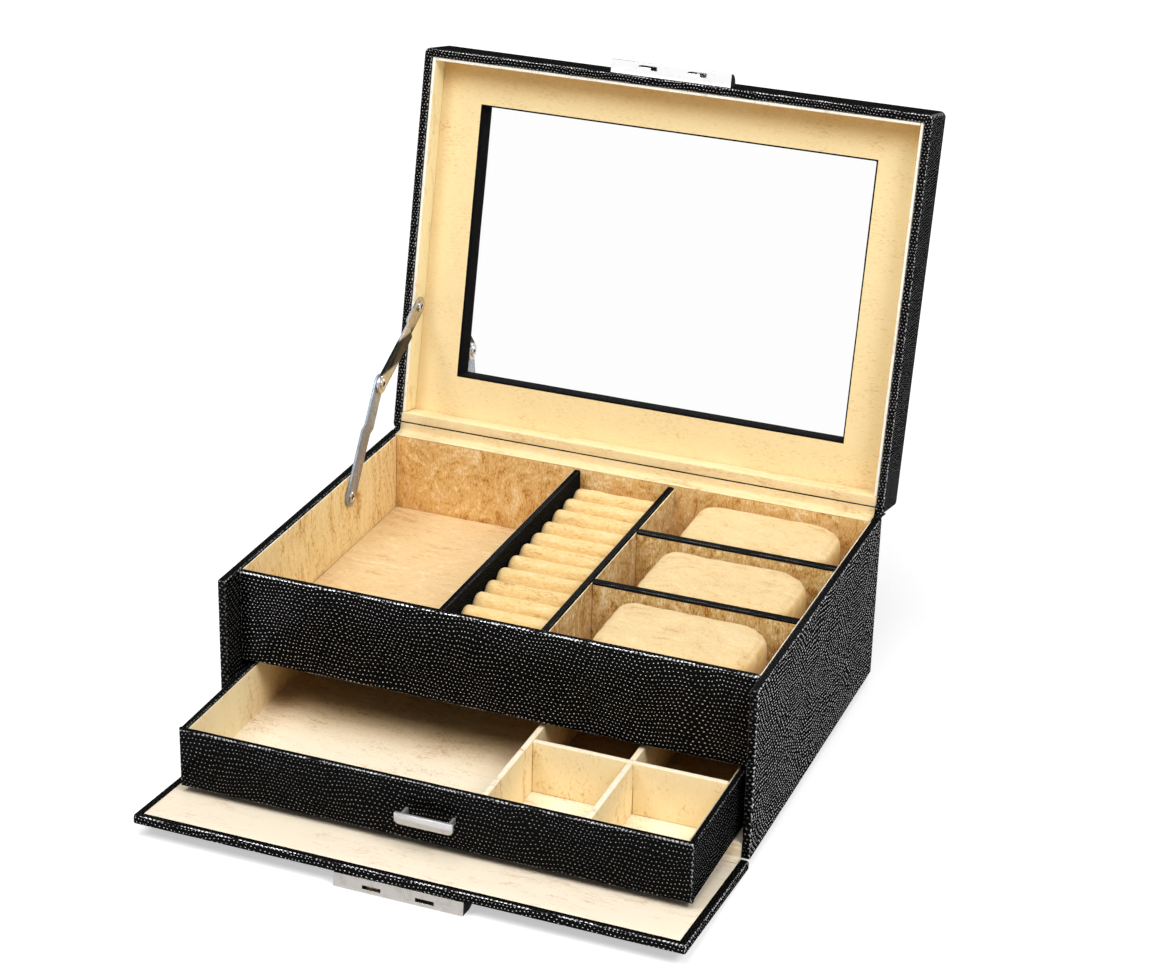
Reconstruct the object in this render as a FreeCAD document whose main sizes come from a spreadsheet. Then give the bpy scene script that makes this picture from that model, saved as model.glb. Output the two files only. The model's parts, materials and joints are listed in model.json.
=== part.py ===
import FreeCAD, Part
import math
import operator
import os
import types
import Sketcher

# Ring box with drawer: a leather-covered case whose lid carries a mirror, a lined tray with ring
# rolls and watch cushions, and under the tray a drawer behind a fall-front flap.
# Millimetres. X runs to the right, Y to the back, Z up; the origin is on the table, under the
# middle of the case. The lid stands open, the drawer is part way out and the flap lies down.

doc = FreeCAD.newDocument("RingBox")

# ---------------------------------------------------------------- driving dimensions

DRIVING = [
    ("case_width", 280.0, "case, left to right"),
    ("case_depth", 204.0, "case, front edges of the side panels to the back"),
    ("case_height", 91.0, "case, underside to rim"),
    ("wall", 4.5, "leather-covered board of the case and lid walls"),
    ("edge_round", 1.2, "rounding of a covered board's edge"),
    ("panel_round", 1.6, "rounding of the front panel's and the drawer front's edges"),
    ("panel_corner", 3.0, "front panel's rounded front corners"),
    ("cloth", 0.8, "suede sheet"),
    ("lip_drop", 1.0, "rim down to the top of the linings and dividers"),
    ("pad_height", 5.0, "felt base pad under the case"),
    ("pad_inset", 8.0, "base pad inside the case's outline"),
    ("bottom_board", 7.0, "bottom board"),
    ("panel_setback", 13.0, "front panel behind the side panels' front edges"),
    ("front_board", 3.8, "front panel's thickness"),
    ("bay_height", 41.5, "case underside to the front panel's lower edge"),
    ("panel_lip", 2.1, "front panel's lower edge below the tray board"),
    ("tray_board", 3.2, "board under the tray"),
    ("back_lining", 1.9, "lining board on the back wall"),
    ("divider", 4.2, "tray divider's thickness"),
    ("ring_divider_x", -28.0, "middle of the divider left of the ring rolls"),
    ("centre_divider_x", 26.1, "middle of the divider right of the ring rolls"),
    ("rear_compartment_less", 3.4, "rear watch compartment shorter than the other two by"),
    ("binding", 1.8, "leather binding on a cross divider's top"),
    ("ring_pitch", 15.0, "least room along the tray for one ring roll"),
    ("ring_roll_radius", 7.2, "ring roll"),
    ("ring_roll_drop", 7.8, "rim down to the top of the ring rolls"),
    ("clasp_room", 17.0, "centre divider to the cushions, where a watch's clasp lies"),
    ("cushion_end_gap", 9.0, "cushion's right end to the side lining"),
    ("cushion_gap", 3.0, "cushion to the dividers in front and behind"),
    ("cushion_drop", 2.8, "rim down to the top of the cushions"),
    ("cushion_corner_left", 9.5, "cushion's left corners seen from above"),
    ("cushion_corner_right", 18.0, "cushion's right corners seen from above"),
    ("cushion_edge", 6.0, "cushion's rounded edges"),
    ("soft_gap", 0.3, "air round a soft piece that lifts or moves"),
    ("rim_gap", 0.8, "gap between the rims when the lid is shut"),
    ("lid_tilt", 12.0, "open lid past upright, degrees"),
    ("lid_height", 28.0, "lid, rim to outer face"),
    ("lid_board", 2.2, "lid's top board"),
    ("lid_corner", 3.0, "lid's rounded outer corners"),
    ("lid_lining", 1.9, "lining board on the lid's side and front walls"),
    ("hinge_lining", 5.15, "lining board on the lid's hinge wall"),
    ("hinge_lining_drop", 0.2, "lid's rim down to the lining board on its hinge wall"),
    ("mirror_recess", 15.0, "lid rim to the mirror panel"),
    ("mirror_panel", 1.2, "suede-covered card round the mirror"),
    ("mirror_depth", 22.0, "lid rim to the mirror's face"),
    ("mirror_side_margin", 30.2, "lid's side to the mirror opening"),
    ("mirror_front_margin", 28.7, "lid's front edge to the mirror opening"),
    ("mirror_hinge_margin", 32.4, "lid's hinge edge to the mirror opening"),
    ("surround", 7.0, "black spacer frame behind the mirror panel"),
    ("mirror_overlap", 4.0, "mirror behind the spacer frame"),
    ("flap_short", 0.4, "shut flap's free edge below the rim"),
    ("flap_thickness", 5.0, "flap"),
    ("flap_side_gap", 0.2, "flap's ends inside the case's sides"),
    ("flap_hinge_gap", 0.6, "flap's back edge in front of the hinge line"),
    ("flap_margin", 3.2, "leather border along the flap's free edge"),
    ("flap_side_margin", 4.0, "leather border at the flap's ends"),
    ("table_gap", 0.05, "flap's lock half above the table"),
    ("drawer_open", 72.0, "how far the drawer stands out"),
    ("drawer_back_gap", 6.5, "shut drawer to the back panel"),
    ("drawer_top_gap", 1.6, "drawer below the front panel's lower edge"),
    ("drawer_wall", 3.4, "drawer's walls"),
    ("drawer_floor", 2.4, "drawer's floor board"),
    ("drawer_lip", 0.7, "drawer's rim down to its lining"),
    ("drawer_side_gap", 0.4, "drawer to each guide strip"),
    ("drawer_gap", 0.4, "drawer above the bay's lining"),
    ("guide_width", 3.8, "drawer guide strip"),
    ("guide_height", 12.0, "drawer guide strip"),
    ("guide_setback", 9.0, "guide strip behind the front panel's face"),
    ("drawer_divider", 3.2, "drawer divider's thickness"),
    ("drawer_main_x", 27.0, "middle of the divider right of the long compartment"),
    ("drawer_second_x", 78.6, "middle of the divider between the cells"),
    ("drawer_cross_y", 60.0, "middle of the cross divider, from the drawer's face"),
    ("lap_gap", 0.05, "play in the dividers' half lap"),
    ("handle_x", 1.5, "middle of the handle"),
    ("handle_length", 30.0, "handle's bar"),
    ("handle_height", 5.8, "handle's bar"),
    ("handle_reach", 9.0, "handle's front face from the drawer"),
    ("handle_bar", 1.8, "thickness of the handle's bar"),
    ("handle_span", 24.2, "between the middles of the handle's arms"),
    ("handle_arm", 1.6, "handle's arm, left to right"),
    ("handle_corner", 2.6, "handle's rounded lower corners"),
    ("lock_x", -0.8, "middle of both lock halves"),
    ("lock_length", 66.0, "both lock halves"),
    ("lock_height", 7.0, "both lock halves, proud of the leather"),
    ("lid_lock_depth", 8.0, "lid's lock half, rim to back"),
    ("flap_lock_depth", 13.0, "flap's lock half, free edge to back"),
    ("lock_round", 6.6, "lock halves' rounded outer edge"),
    ("hook_pitch", 27.0, "between the two hooks"),
    ("hook_rise", 4.4, "middle of the hooks above the leather"),
    ("hook_thickness", 1.4, "hook"),
    ("hook_reach", 4.2, "hook's tip from the lid's rim"),
    ("hook_neck", 4.0, "hook's neck"),
    ("hook_nose", 3.6, "hook's nose beside its neck"),
    ("hook_nose_depth", 1.6, "hook's nose, front to back"),
    ("hook_seat_depth", 1.0, "seat in the lock half that a hook stands in"),
    ("hook_seat_gap", 0.3, "seat round the hook"),
    ("hook_seat_end", 1.2, "open end of the seat beside the nose"),
    ("slot_length", 9.4, "slot that takes a hook"),
    ("slot_height", 2.0, "slot that takes a hook"),
    ("lock_skin", 1.8, "wall of the flap's lock half behind its flat face"),
    ("catch_length", 48.0, "sliding catch"),
    ("catch_depth", 4.0, "sliding catch, front to back"),
    ("catch_strip", 0.7, "sliding catch's strip"),
    ("catch_travel", 3.0, "how far the catch slides"),
    ("catch_gap", 0.3, "air round the catch"),
    ("catch_bit", 2.0, "each of the catch's two bits"),
    ("thumb_length", 10.0, "catch's thumb piece"),
    ("thumb_depth", 2.8, "catch's thumb piece"),
    ("stay_width", 10.5, "stay's links"),
    ("stay_plate", 1.2, "thickness of the stay's links"),
    ("stay_gap", 0.3, "air beside the stay's links"),
    ("stay_lower", 62.64, "lower link, rivet to elbow"),
    ("stay_upper", 58.66, "upper link, rivet to elbow"),
    ("stay_base_back", 65.9, "lower link's rivet in front of the hinge line"),
    ("stay_base_drop", 12.9, "lower link's rivet below the hinge line"),
    ("stay_lid_up", 68.5, "upper link's rivet up the lid from the hinge line"),
    ("stay_lid_in", 6.4, "upper link's rivet behind the hinge line"),
    ("lower_joggle", 27.0, "lower link's step from its elbow end"),
    ("upper_joggle", 15.5, "upper link's step from its lid rivet"),
    ("joggle_run", 3.0, "length of a link's sloping step"),
    ("rivet_radius", 1.5, "rivet's shank"),
    ("rivet_play", 0.05, "link's hole round the shank"),
    ("rivet_head", 3.2, "rivet's head, radius"),
    ("rivet_dome", 1.0, "rivet's head, height"),
    ("washer", 5.0, "elbow washer, radius"),
    ("leather", 0.4, "covering leather where it bridges the lid's hinge"),
    ("leather_reach", 10.0, "covering leather's reach onto the back panel and the lid"),
    ("cloth_reach", 6.0, "suede's reach from the flap's hinge onto the flap"),
    ("cloth_air", 0.05, "suede above the flap's lining"),
]


class Length:
    """A number that remembers the spreadsheet formula it came from."""

    def __init__(self, number, formula):
        self.number = number
        self.formula = formula

    def __add__(self, other):
        return combine(self, "+", other, operator.add)

    def __radd__(self, other):
        return combine(other, "+", self, operator.add)

    def __sub__(self, other):
        return combine(self, "-", other, operator.sub)

    def __rsub__(self, other):
        return combine(other, "-", self, operator.sub)

    def __mul__(self, other):
        return combine(self, "*", other, operator.mul)

    def __rmul__(self, other):
        return combine(other, "*", self, operator.mul)

    def __truediv__(self, other):
        return combine(self, "/", other, operator.truediv)

    def __neg__(self):
        return combine(0, "-", self, operator.sub)


def length(value):
    if isinstance(value, Length):
        return value
    return Length(float(value), f"({float(value)!r})")


def combine(first, sign, second, result):
    first, second = length(first), length(second)
    return Length(result(first.number, second.number), f"({first.formula} {sign} {second.formula})")


sheet = doc.addObject("Spreadsheet::Sheet", "Sizes")


def enter(row, name, number, note):
    sheet.set(f"A{row}", name)
    sheet.set(f"B{row}", repr(float(number)))
    sheet.setAlias(f"B{row}", name)
    sheet.set(f"C{row}", note)
    return Length(float(number), f"Sizes.{name}")


s = types.SimpleNamespace()
for row, (name, number, note) in enumerate(DRIVING, 1):
    setattr(s, name, enter(row, name, number, note))


flap_length = s.case_height - s.flap_short


# The flap lies propped on its lock half: the tilt at which the half's rounded edge meets the table.
def resting_tilt():
    radius = s.lock_round.number
    out = flap_length.number - s.flap_lock_depth.number + radius
    down = s.flap_thickness.number + s.lock_height.number - radius
    rise = radius + s.table_gap.number - s.pad_height.number
    return math.degrees(math.asin(rise / math.hypot(out, down)) + math.atan2(down, out))


# The two links meet at the elbow: the corner of a triangle on the two rivets. Angles are in the
# side view, from the back towards up, and are those of the way from each rivet to the elbow.
def stay_angles():
    tilt = math.radians(s.lid_tilt.number)
    up, inward = s.stay_lid_up.number, s.stay_lid_in.number
    lid_y = up * math.sin(tilt) + inward * math.cos(tilt)
    lid_z = up * math.cos(tilt) - inward * math.sin(tilt)
    across = lid_y + s.stay_base_back.number
    above = lid_z + s.stay_base_drop.number
    span = math.hypot(across, above)
    lower, upper = s.stay_lower.number, s.stay_upper.number
    base_corner = math.acos((lower**2 + span**2 - upper**2) / (2 * lower * span))
    lid_corner = math.acos((upper**2 + span**2 - lower**2) / (2 * upper * span))
    line = math.atan2(above, across)
    return math.degrees(line + base_corner), math.degrees(line + math.pi - lid_corner)


lower_angle, upper_angle = stay_angles()
DERIVED = [
    ("flap_tilt", resting_tilt(), "flap above level, degrees"),
    ("stay_lower_turn", lower_angle - 90, "lower link from upright, degrees"),
    ("stay_upper_turn", upper_angle - 90, "upper link from upright, degrees"),
]
for row, (name, number, note) in enumerate(DERIVED, len(DRIVING) + 2):
    setattr(s, name, enter(row, name, number, note))
doc.recompute()

# ---------------------------------------------------------------- frames and building blocks


def frame(y, z, turn=0, x=0):
    """A piece's own axes: moved to (x, y, z) and turned about X by a number of degrees."""
    x, y, z, turn = (length(value).formula for value in (x, y, z, turn))
    return f"placement(vector({x}; {y}; {z}); rotation(vector(1; 0; 0); {turn}))"


hinge_height = s.pad_height + s.case_height + s.rim_gap / 2
drawer_floor_height = s.pad_height + s.bottom_board + s.cloth + s.drawer_gap

# Case: y from the side panels' front edges, z from the case's underside.
CASE = frame(-s.case_depth / 2, s.pad_height)
# Lid: hinge line at the origin, z up along the lid to its front edge, y into the lid's depth.
LID = frame(s.case_depth / 2, hinge_height, -s.lid_tilt)
# Flap: hinge line at the origin, y negative to the free edge, z negative through the thickness.
FLAP = frame(-s.case_depth / 2, s.pad_height, -s.flap_tilt)
# Drawer: y from the drawer's face, z from its underside.
DRAWER = frame(-s.case_depth / 2 + s.panel_setback - s.drawer_open, drawer_floor_height)

pieces = []


def settle(piece):
    pieces.append(piece)
    return piece


def box(label, axes, x, y, z):
    """A plain board between two corners."""
    piece = doc.addObject("Part::Box", label)
    piece.Label = label
    low = [length(pair[0]) for pair in (x, y, z)]
    for side, pair in zip(("Length", "Width", "Height"), (x, y, z)):
        piece.setExpression(side, (length(pair[1]) - length(pair[0])).formula)
    corner = "; ".join(value.formula for value in low)
    piece.setExpression("Placement", f"{axes} * placement(vector({corner}); rotation(vector(0; 0; 1); 0))")
    return settle(piece)


def new_body(label, axes):
    body = doc.addObject("PartDesign::Body", label)
    body.Label = label
    body.setExpression("Placement", axes)
    return settle(body)


def origin_feature(body, role):
    return [feature for feature in body.Origin.OriginFeatures if feature.Role == role][0]


def new_sketch(body, plane, offset):
    """A sketch on one of the body's own planes, moved along that plane's axis to `offset`."""
    sketch = body.newObject("Sketcher::SketchObject", "Sketch")
    sketch.AttachmentSupport = [(origin_feature(body, f"{plane}_Plane"), "")]
    sketch.MapMode = "FlatFace"
    along = -length(offset) if plane == "XZ" else length(offset)
    sketch.setExpression(
        "AttachmentOffset", f"placement(vector(0; 0; {along.formula}); rotation(vector(0; 0; 1); 0))"
    )
    return sketch


def draw_polygon(sketch, corners):
    """A closed outline whose every corner is tied to its formula."""
    corners = [(length(u), length(v)) for u, v in corners]
    points = [FreeCAD.Vector(u.number, v.number, 0) for u, v in corners]
    count = len(points)
    for index in range(count):
        sketch.addGeometry(Part.LineSegment(points[index], points[(index + 1) % count]))
    for index in range(count):
        sketch.addConstraint(Sketcher.Constraint("Coincident", index, 2, (index + 1) % count, 1))
    for index, (u, v) in enumerate(corners):
        for kind, value in (("DistanceX", u), ("DistanceY", v)):
            tie = sketch.addConstraint(Sketcher.Constraint(kind, -1, 1, index, 1, value.number))
            sketch.setExpression(f"Constraints[{tie}]", value.formula)


def draw_circle(sketch, u, v, radius):
    u, v, radius = length(u), length(v), length(radius)
    centre = FreeCAD.Vector(u.number, v.number, 0)
    sketch.addGeometry(Part.Circle(centre, FreeCAD.Vector(0, 0, 1), radius.number))
    for kind, value in (("DistanceX", u), ("DistanceY", v)):
        tie = sketch.addConstraint(Sketcher.Constraint(kind, -1, 1, 0, 3, value.number))
        sketch.setExpression(f"Constraints[{tie}]", value.formula)
    tie = sketch.addConstraint(Sketcher.Constraint("Radius", 0, radius.number))
    sketch.setExpression(f"Constraints[{tie}]", radius.formula)


def finish_feature(body, feature, sign):
    """Recomputes, and makes sure that the feature added (+1) or took away (-1) material."""
    before = body.Tip.Shape.Volume if body.Tip and body.Tip is not feature else 0.0
    body.Tip = feature
    doc.recompute()
    if feature.Shape.isNull() or (feature.Shape.Volume - before) * sign <= 0:
        raise RuntimeError(f"{body.Label}: {feature.Name} does nothing")
    return feature


def pad(body, plane, outline, low, high):
    """Material between two positions along the plane's axis. `outline` draws in the sketch."""
    low, high = length(low), length(high)
    before = body.Tip
    sketch = new_sketch(body, plane, high if plane == "XZ" else low)
    outline(sketch)
    feature = body.newObject("PartDesign::Pad", "Pad")
    feature.Profile = sketch
    feature.setExpression("Length", (high - low).formula)
    body.Tip = before
    return finish_feature(body, feature, +1)


def pocket(body, plane, outline, low, high):
    """A cut between two positions along the plane's axis."""
    low, high = length(low), length(high)
    before = body.Tip
    sketch = new_sketch(body, plane, low if plane == "XZ" else high)
    outline(sketch)
    feature = body.newObject("PartDesign::Pocket", "Pocket")
    feature.Profile = sketch
    feature.setExpression("Length", (high - low).formula)
    body.Tip = before
    return finish_feature(body, feature, -1)


def polygon(*corners):
    return lambda sketch: draw_polygon(sketch, corners)


def rectangle(u, v):
    return polygon((u[0], v[0]), (u[1], v[0]), (u[1], v[1]), (u[0], v[1]))


def circle(u, v, radius):
    return lambda sketch: draw_circle(sketch, u, v, radius)


SIDES = {
    "left": ("x", "XMin"), "right": ("x", "XMax"), "front": ("y", "YMin"),
    "back": ("y", "YMax"), "bottom": ("z", "ZMin"), "top": ("z", "ZMax"),
}


def round_edges(body, radius, *where):
    """Rounds edges named by the sides of the body they lie on, such as "top" or "front left"."""
    shape = body.Tip.Shape
    bounds = shape.BoundBox
    names = []
    for index, edge in enumerate(shape.Edges, 1):
        middle = edge.valueAt((edge.FirstParameter + edge.LastParameter) / 2)
        for words in where:
            faces = [SIDES[word] for word in words.split()]
            if all(abs(getattr(middle, axis) - getattr(bounds, face)) < 1e-4 for axis, face in faces):
                names.append(f"Edge{index}")
                break
    base = body.Tip
    fillet = body.newObject("PartDesign::Fillet", "Fillet")
    fillet.Base = (base, names)
    fillet.setExpression("Radius", length(radius).formula)
    body.Tip = fillet
    doc.recompute()
    if fillet.Shape.isNull() or not fillet.Shape.isValid():
        raise RuntimeError(f"{body.Label}: rounding {where} failed")
    return fillet


def covered_board(label, axes, x, y, z, *rounded):
    """A leather- or suede-covered board with softened edges."""
    body = new_body(label, axes)
    pad(body, "XY", rectangle(x, y), z[0], z[1])
    if rounded:
        round_edges(body, s.edge_round, *rounded)
    return body


def both_ways(value):
    return (-value, value)


# ---------------------------------------------------------------- case shell

half_width = s.case_width / 2
inner_half = half_width - s.wall
back_face = s.case_depth - s.wall
panel_back = s.panel_setback + s.front_board
tray_underside = s.bay_height + s.panel_lip
tray_board_top = tray_underside + s.tray_board
tray_floor = tray_board_top + s.cloth
lip = s.case_height - s.lip_drop
ledge = s.case_height - s.cloth
lined_half = inner_half - s.cloth
lined_front = panel_back + s.cloth
lined_back = back_face - s.back_lining
bay_floor = s.bottom_board + s.cloth

pad_half = half_width - s.pad_inset
box("base_pad", CASE, both_ways(pad_half), (s.pad_inset, s.case_depth - s.pad_inset), (-s.pad_height, 0))
box("bottom_board", CASE, both_ways(inner_half), (s.cloth, back_face), (0, s.bottom_board))
for side, x in (("left", (-half_width, -inner_half)), ("right", (inner_half, half_width))):
    covered_board(
        f"side_panel_{side}", CASE, x, (0, s.case_depth), (0, s.case_height),
        "top", "front", f"{side} back", f"{side} bottom",
    )
box("back_panel", CASE, both_ways(inner_half), (back_face, s.case_depth), (0, ledge))
front_panel = covered_board(
    "front_panel", CASE, both_ways(inner_half), (s.panel_setback, panel_back), (s.bay_height, s.case_height)
)
round_edges(front_panel, s.panel_corner, "front left", "front right")
round_edges(front_panel, s.panel_round, "front top", "front bottom")
round_edges(front_panel, s.edge_round, "top back", "bottom back")
box("tray_board", CASE, both_ways(inner_half), (panel_back, back_face), (tray_underside, tray_board_top))

# ---------------------------------------------------------------- case linings

box("tray_floor_lining", CASE, both_ways(lined_half), (lined_front, lined_back), (tray_board_top, tray_floor))
for side, x in (("left", (-inner_half, -lined_half)), ("right", (lined_half, inner_half))):
    box(f"side_lining_{side}", CASE, x, (panel_back, back_face), (tray_board_top, lip))
box("back_lining", CASE, both_ways(lined_half), (lined_back, back_face), (tray_board_top, ledge))
box("front_lining", CASE, both_ways(lined_half), (panel_back, lined_front), (tray_board_top, lip))
box("case_ledge_strip", CASE, both_ways(inner_half), (lined_back, s.case_depth), (ledge, s.case_height))

# The bay's lining turns down over the bottom board's front edge.
bay_lining = new_body("bay_lining", CASE)
bay_outline = polygon(
    (0, s.soft_gap), (s.cloth, s.soft_gap), (s.cloth, s.bottom_board),
    (back_face, s.bottom_board), (back_face, bay_floor), (0, bay_floor),
)
pad(bay_lining, "YZ", bay_outline, -inner_half, inner_half)

guide_inner = inner_half - s.guide_width
guide_y = (s.panel_setback + s.guide_setback, back_face)
for side, x in (("left", (-inner_half, -guide_inner)), ("right", (guide_inner, inner_half))):
    box(f"drawer_guide_{side}", CASE, x, guide_y, (bay_floor, bay_floor + s.guide_height))

# ---------------------------------------------------------------- tray dividers

ring_left = s.ring_divider_x - s.divider / 2
ring_right = s.ring_divider_x + s.divider / 2
centre_left = s.centre_divider_x - s.divider / 2
centre_right = s.centre_divider_x + s.divider / 2
divider_y = (lined_front, lined_back)

# Each long divider is a leather-covered board; a suede sheet faces its outer side.
divider_z = (tray_floor, lip)
covered_board("ring_divider", CASE, (ring_left + s.cloth, ring_right), divider_y, divider_z, "top")
covered_board("centre_divider", CASE, (centre_left, centre_right - s.cloth), divider_y, divider_z, "top")
facing_z = (tray_floor, lip - s.edge_round)
box("ring_divider_facing", CASE, (ring_left, ring_left + s.cloth), divider_y, facing_z)
box("centre_divider_facing", CASE, (centre_right - s.cloth, centre_right), divider_y, facing_z)

compartment = (lined_back - lined_front - 2 * s.divider + s.rear_compartment_less) / 3
cross_front = lined_front + compartment
cross_rear = cross_front + s.divider + compartment
for name, face in (("front", cross_front), ("rear", cross_rear)):
    y = (face, face + s.divider)
    box(f"cross_divider_{name}", CASE, (centre_right, lined_half), y, (tray_floor, lip - s.binding))
    covered_board(
        f"cross_binding_{name}", CASE, (centre_right, lined_half), y, (lip - s.binding, lip),
        "top front", "top back",
    )

# ---------------------------------------------------------------- ring rolls

# One foam insert: a bed with a row of rolls sunk half into it, so that rings slip between them.
bank_length = lined_back - lined_front - 2 * s.soft_gap
roll_count = int(bank_length.number // s.ring_pitch.number)
if roll_count * s.ring_pitch.number < bank_length.number - s.ring_pitch.number / 2:
    roll_count += 1
roll_spacing = (bank_length - 2 * s.ring_roll_radius) / (roll_count - 1)
roll_height = s.case_height - s.ring_roll_drop - s.ring_roll_radius
bank_x = (ring_right + s.soft_gap, centre_left - s.soft_gap)
bank_y = (lined_front + s.soft_gap, lined_back - s.soft_gap)
ring_rolls = new_body("ring_rolls", CASE)
pad(ring_rolls, "XY", rectangle(bank_x, bank_y), tray_floor, roll_height)
first_roll = bank_y[0] + s.ring_roll_radius
roll = pad(ring_rolls, "YZ", circle(first_roll, roll_height, s.ring_roll_radius), bank_x[0], bank_x[1])
row_of_rolls = ring_rolls.newObject("PartDesign::LinearPattern", "RowOfRolls")
row_of_rolls.Originals = [roll]
row_of_rolls.Direction = (origin_feature(ring_rolls, "Y_Axis"), [""])
row_of_rolls.Occurrences = roll_count
row_of_rolls.setExpression("Length", (roll_spacing * (roll_count - 1)).formula)
ring_rolls.Tip = row_of_rolls
doc.recompute()

# ---------------------------------------------------------------- watch cushions

cushion_x = (centre_right + s.clasp_room, lined_half - s.cushion_end_gap)
cushion_z = (tray_floor + s.soft_gap, s.case_height - s.cushion_drop)
compartments = [
    ("front", lined_front, cross_front),
    ("middle", cross_front + s.divider, cross_rear),
    ("rear", cross_rear + s.divider, lined_back),
]
for name, front, back in compartments:
    cushion = new_body(f"cushion_{name}", CASE)
    outline = rectangle(cushion_x, (front + s.cushion_gap, back - s.cushion_gap))
    pad(cushion, "XY", outline, cushion_z[0], cushion_z[1])
    round_edges(cushion, s.cushion_corner_left, "left front", "left back")
    round_edges(cushion, s.cushion_corner_right, "right front", "right back")
    round_edges(cushion, s.cushion_edge, "top", "bottom")

# ---------------------------------------------------------------- lid

lid_length = s.case_depth + s.flap_thickness
rim = s.rim_gap / 2
lid_back = rim + s.lid_height
panel_face = rim + s.mirror_recess
mirror_face = rim + s.mirror_depth
lid_inner = lid_back - s.lid_board
hinge_lining_edge = s.wall + s.hinge_lining
front_wall = lid_length - s.wall

lid_frame = new_body("lid_frame", LID)
pad(lid_frame, "XZ", rectangle(both_ways(half_width), (0, lid_length)), rim, lid_inner)
pocket(lid_frame, "XZ", rectangle(both_ways(inner_half), (s.wall, front_wall)), rim, lid_inner)
round_edges(lid_frame, s.lid_corner, "top left", "top right", "bottom left", "bottom right")
round_edges(lid_frame, s.edge_round, "front")
strip_recess = rectangle(both_ways(inner_half), (0, s.wall))
pocket(lid_frame, "XZ", strip_recess, rim, rim + s.cloth)

lid_panel = new_body("lid_panel", LID)
pad(lid_panel, "XZ", rectangle(both_ways(half_width), (0, lid_length)), lid_inner, lid_back)
round_edges(lid_panel, s.lid_corner, "top left", "top right", "bottom left", "bottom right")
round_edges(lid_panel, s.edge_round, "back")

lining_y = (rim + s.lip_drop, panel_face)
side_lining_z = (hinge_lining_edge, front_wall)
box("lid_lining_left", LID, (-inner_half, -inner_half + s.lid_lining), lining_y, side_lining_z)
box("lid_lining_right", LID, (inner_half - s.lid_lining, inner_half), lining_y, side_lining_z)
front_lining_x = both_ways(inner_half - s.lid_lining)
box("lid_lining_front", LID, front_lining_x, lining_y, (front_wall - s.lid_lining, front_wall))
hinge_lining_y = (rim + s.hinge_lining_drop, panel_face)
box("lid_lining_hinge", LID, both_ways(inner_half), hinge_lining_y, (s.wall, hinge_lining_edge))
box("lid_ledge_strip", LID, both_ways(inner_half), (rim, rim + s.cloth), (0, s.wall - s.soft_gap))

opening_x = both_ways(half_width - s.mirror_side_margin)
opening_z = (s.mirror_hinge_margin, lid_length - s.mirror_front_margin)


def grown(span, by):
    return (span[0] - by, span[1] + by)


mirror_panel = new_body("mirror_panel", LID)
panel_outline = rectangle(both_ways(inner_half), (s.wall, front_wall))
surround_face = panel_face + s.mirror_panel
pad(mirror_panel, "XZ", panel_outline, panel_face, surround_face)
pocket(mirror_panel, "XZ", rectangle(opening_x, opening_z), panel_face, surround_face)

mirror_surround = new_body("mirror_surround", LID)
surround_outline = rectangle(grown(opening_x, s.surround), grown(opening_z, s.surround))
pad(mirror_surround, "XZ", surround_outline, surround_face, mirror_face)
pocket(mirror_surround, "XZ", rectangle(opening_x, opening_z), surround_face, mirror_face)
mirror_y = (mirror_face, lid_inner)
box("mirror", LID, grown(opening_x, s.mirror_overlap), mirror_y, grown(opening_z, s.mirror_overlap))

# ---------------------------------------------------------------- lock: lid half with two hooks

lock_x = (s.lock_x - s.lock_length / 2, s.lock_x + s.lock_length / 2)
hook_middles = (s.lock_x - s.hook_pitch / 2, s.lock_x + s.hook_pitch / 2)
lid_lock = new_body("lid_lock", LID)
lid_lock_outline = rectangle((rim, rim + s.lid_lock_depth), (lid_length, lid_length + s.lock_height))
pad(lid_lock, "YZ", lid_lock_outline, lock_x[0], lock_x[1])
round_edges(lid_lock, s.lock_round, "top back")
hook_low = lid_length + s.hook_rise - s.hook_thickness / 2
hook_tip = rim - s.hook_reach
seat_z = grown((hook_low, hook_low + s.hook_thickness), s.hook_seat_gap)
seat_floor = rim + s.hook_seat_depth
for middle in hook_middles:
    neck_left = middle - (s.hook_neck + s.hook_nose) / 2
    neck_right = neck_left + s.hook_neck
    nose_right = neck_right + s.hook_nose
    seat = rectangle((neck_left - s.hook_seat_gap, nose_right + s.hook_seat_end), seat_z)
    pocket(lid_lock, "XZ", seat, rim, seat_floor)
    hook = polygon(
        (neck_left, seat_floor), (neck_left, hook_tip), (nose_right, hook_tip),
        (nose_right, hook_tip + s.hook_nose_depth), (neck_right, hook_tip + s.hook_nose_depth),
        (neck_right, seat_floor),
    )
    pad(lid_lock, "XY", hook, hook_low, hook_low + s.hook_thickness)

# ---------------------------------------------------------------- flap and its lock half

free_edge = -flap_length
flap_half = half_width - s.flap_side_gap
flap_x = both_ways(flap_half)
lining_half = flap_half - s.flap_side_margin
flap_back = -s.flap_hinge_gap
lining_recess = rectangle(both_ways(lining_half), (free_edge + s.flap_margin, flap_back))
flap_board = new_body("flap_board", FLAP)
pad(flap_board, "XY", rectangle(flap_x, (free_edge, flap_back)), -s.flap_thickness, 0)
ends = ("top left", "top right", "front left", "front right")
round_edges(flap_board, s.edge_round, "top front", "bottom", *ends)
pocket(flap_board, "XY", lining_recess, -s.cloth, 0)
box("flap_lining", FLAP, both_ways(lining_half), (free_edge + s.flap_margin, flap_back), (-s.cloth, 0))

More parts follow.
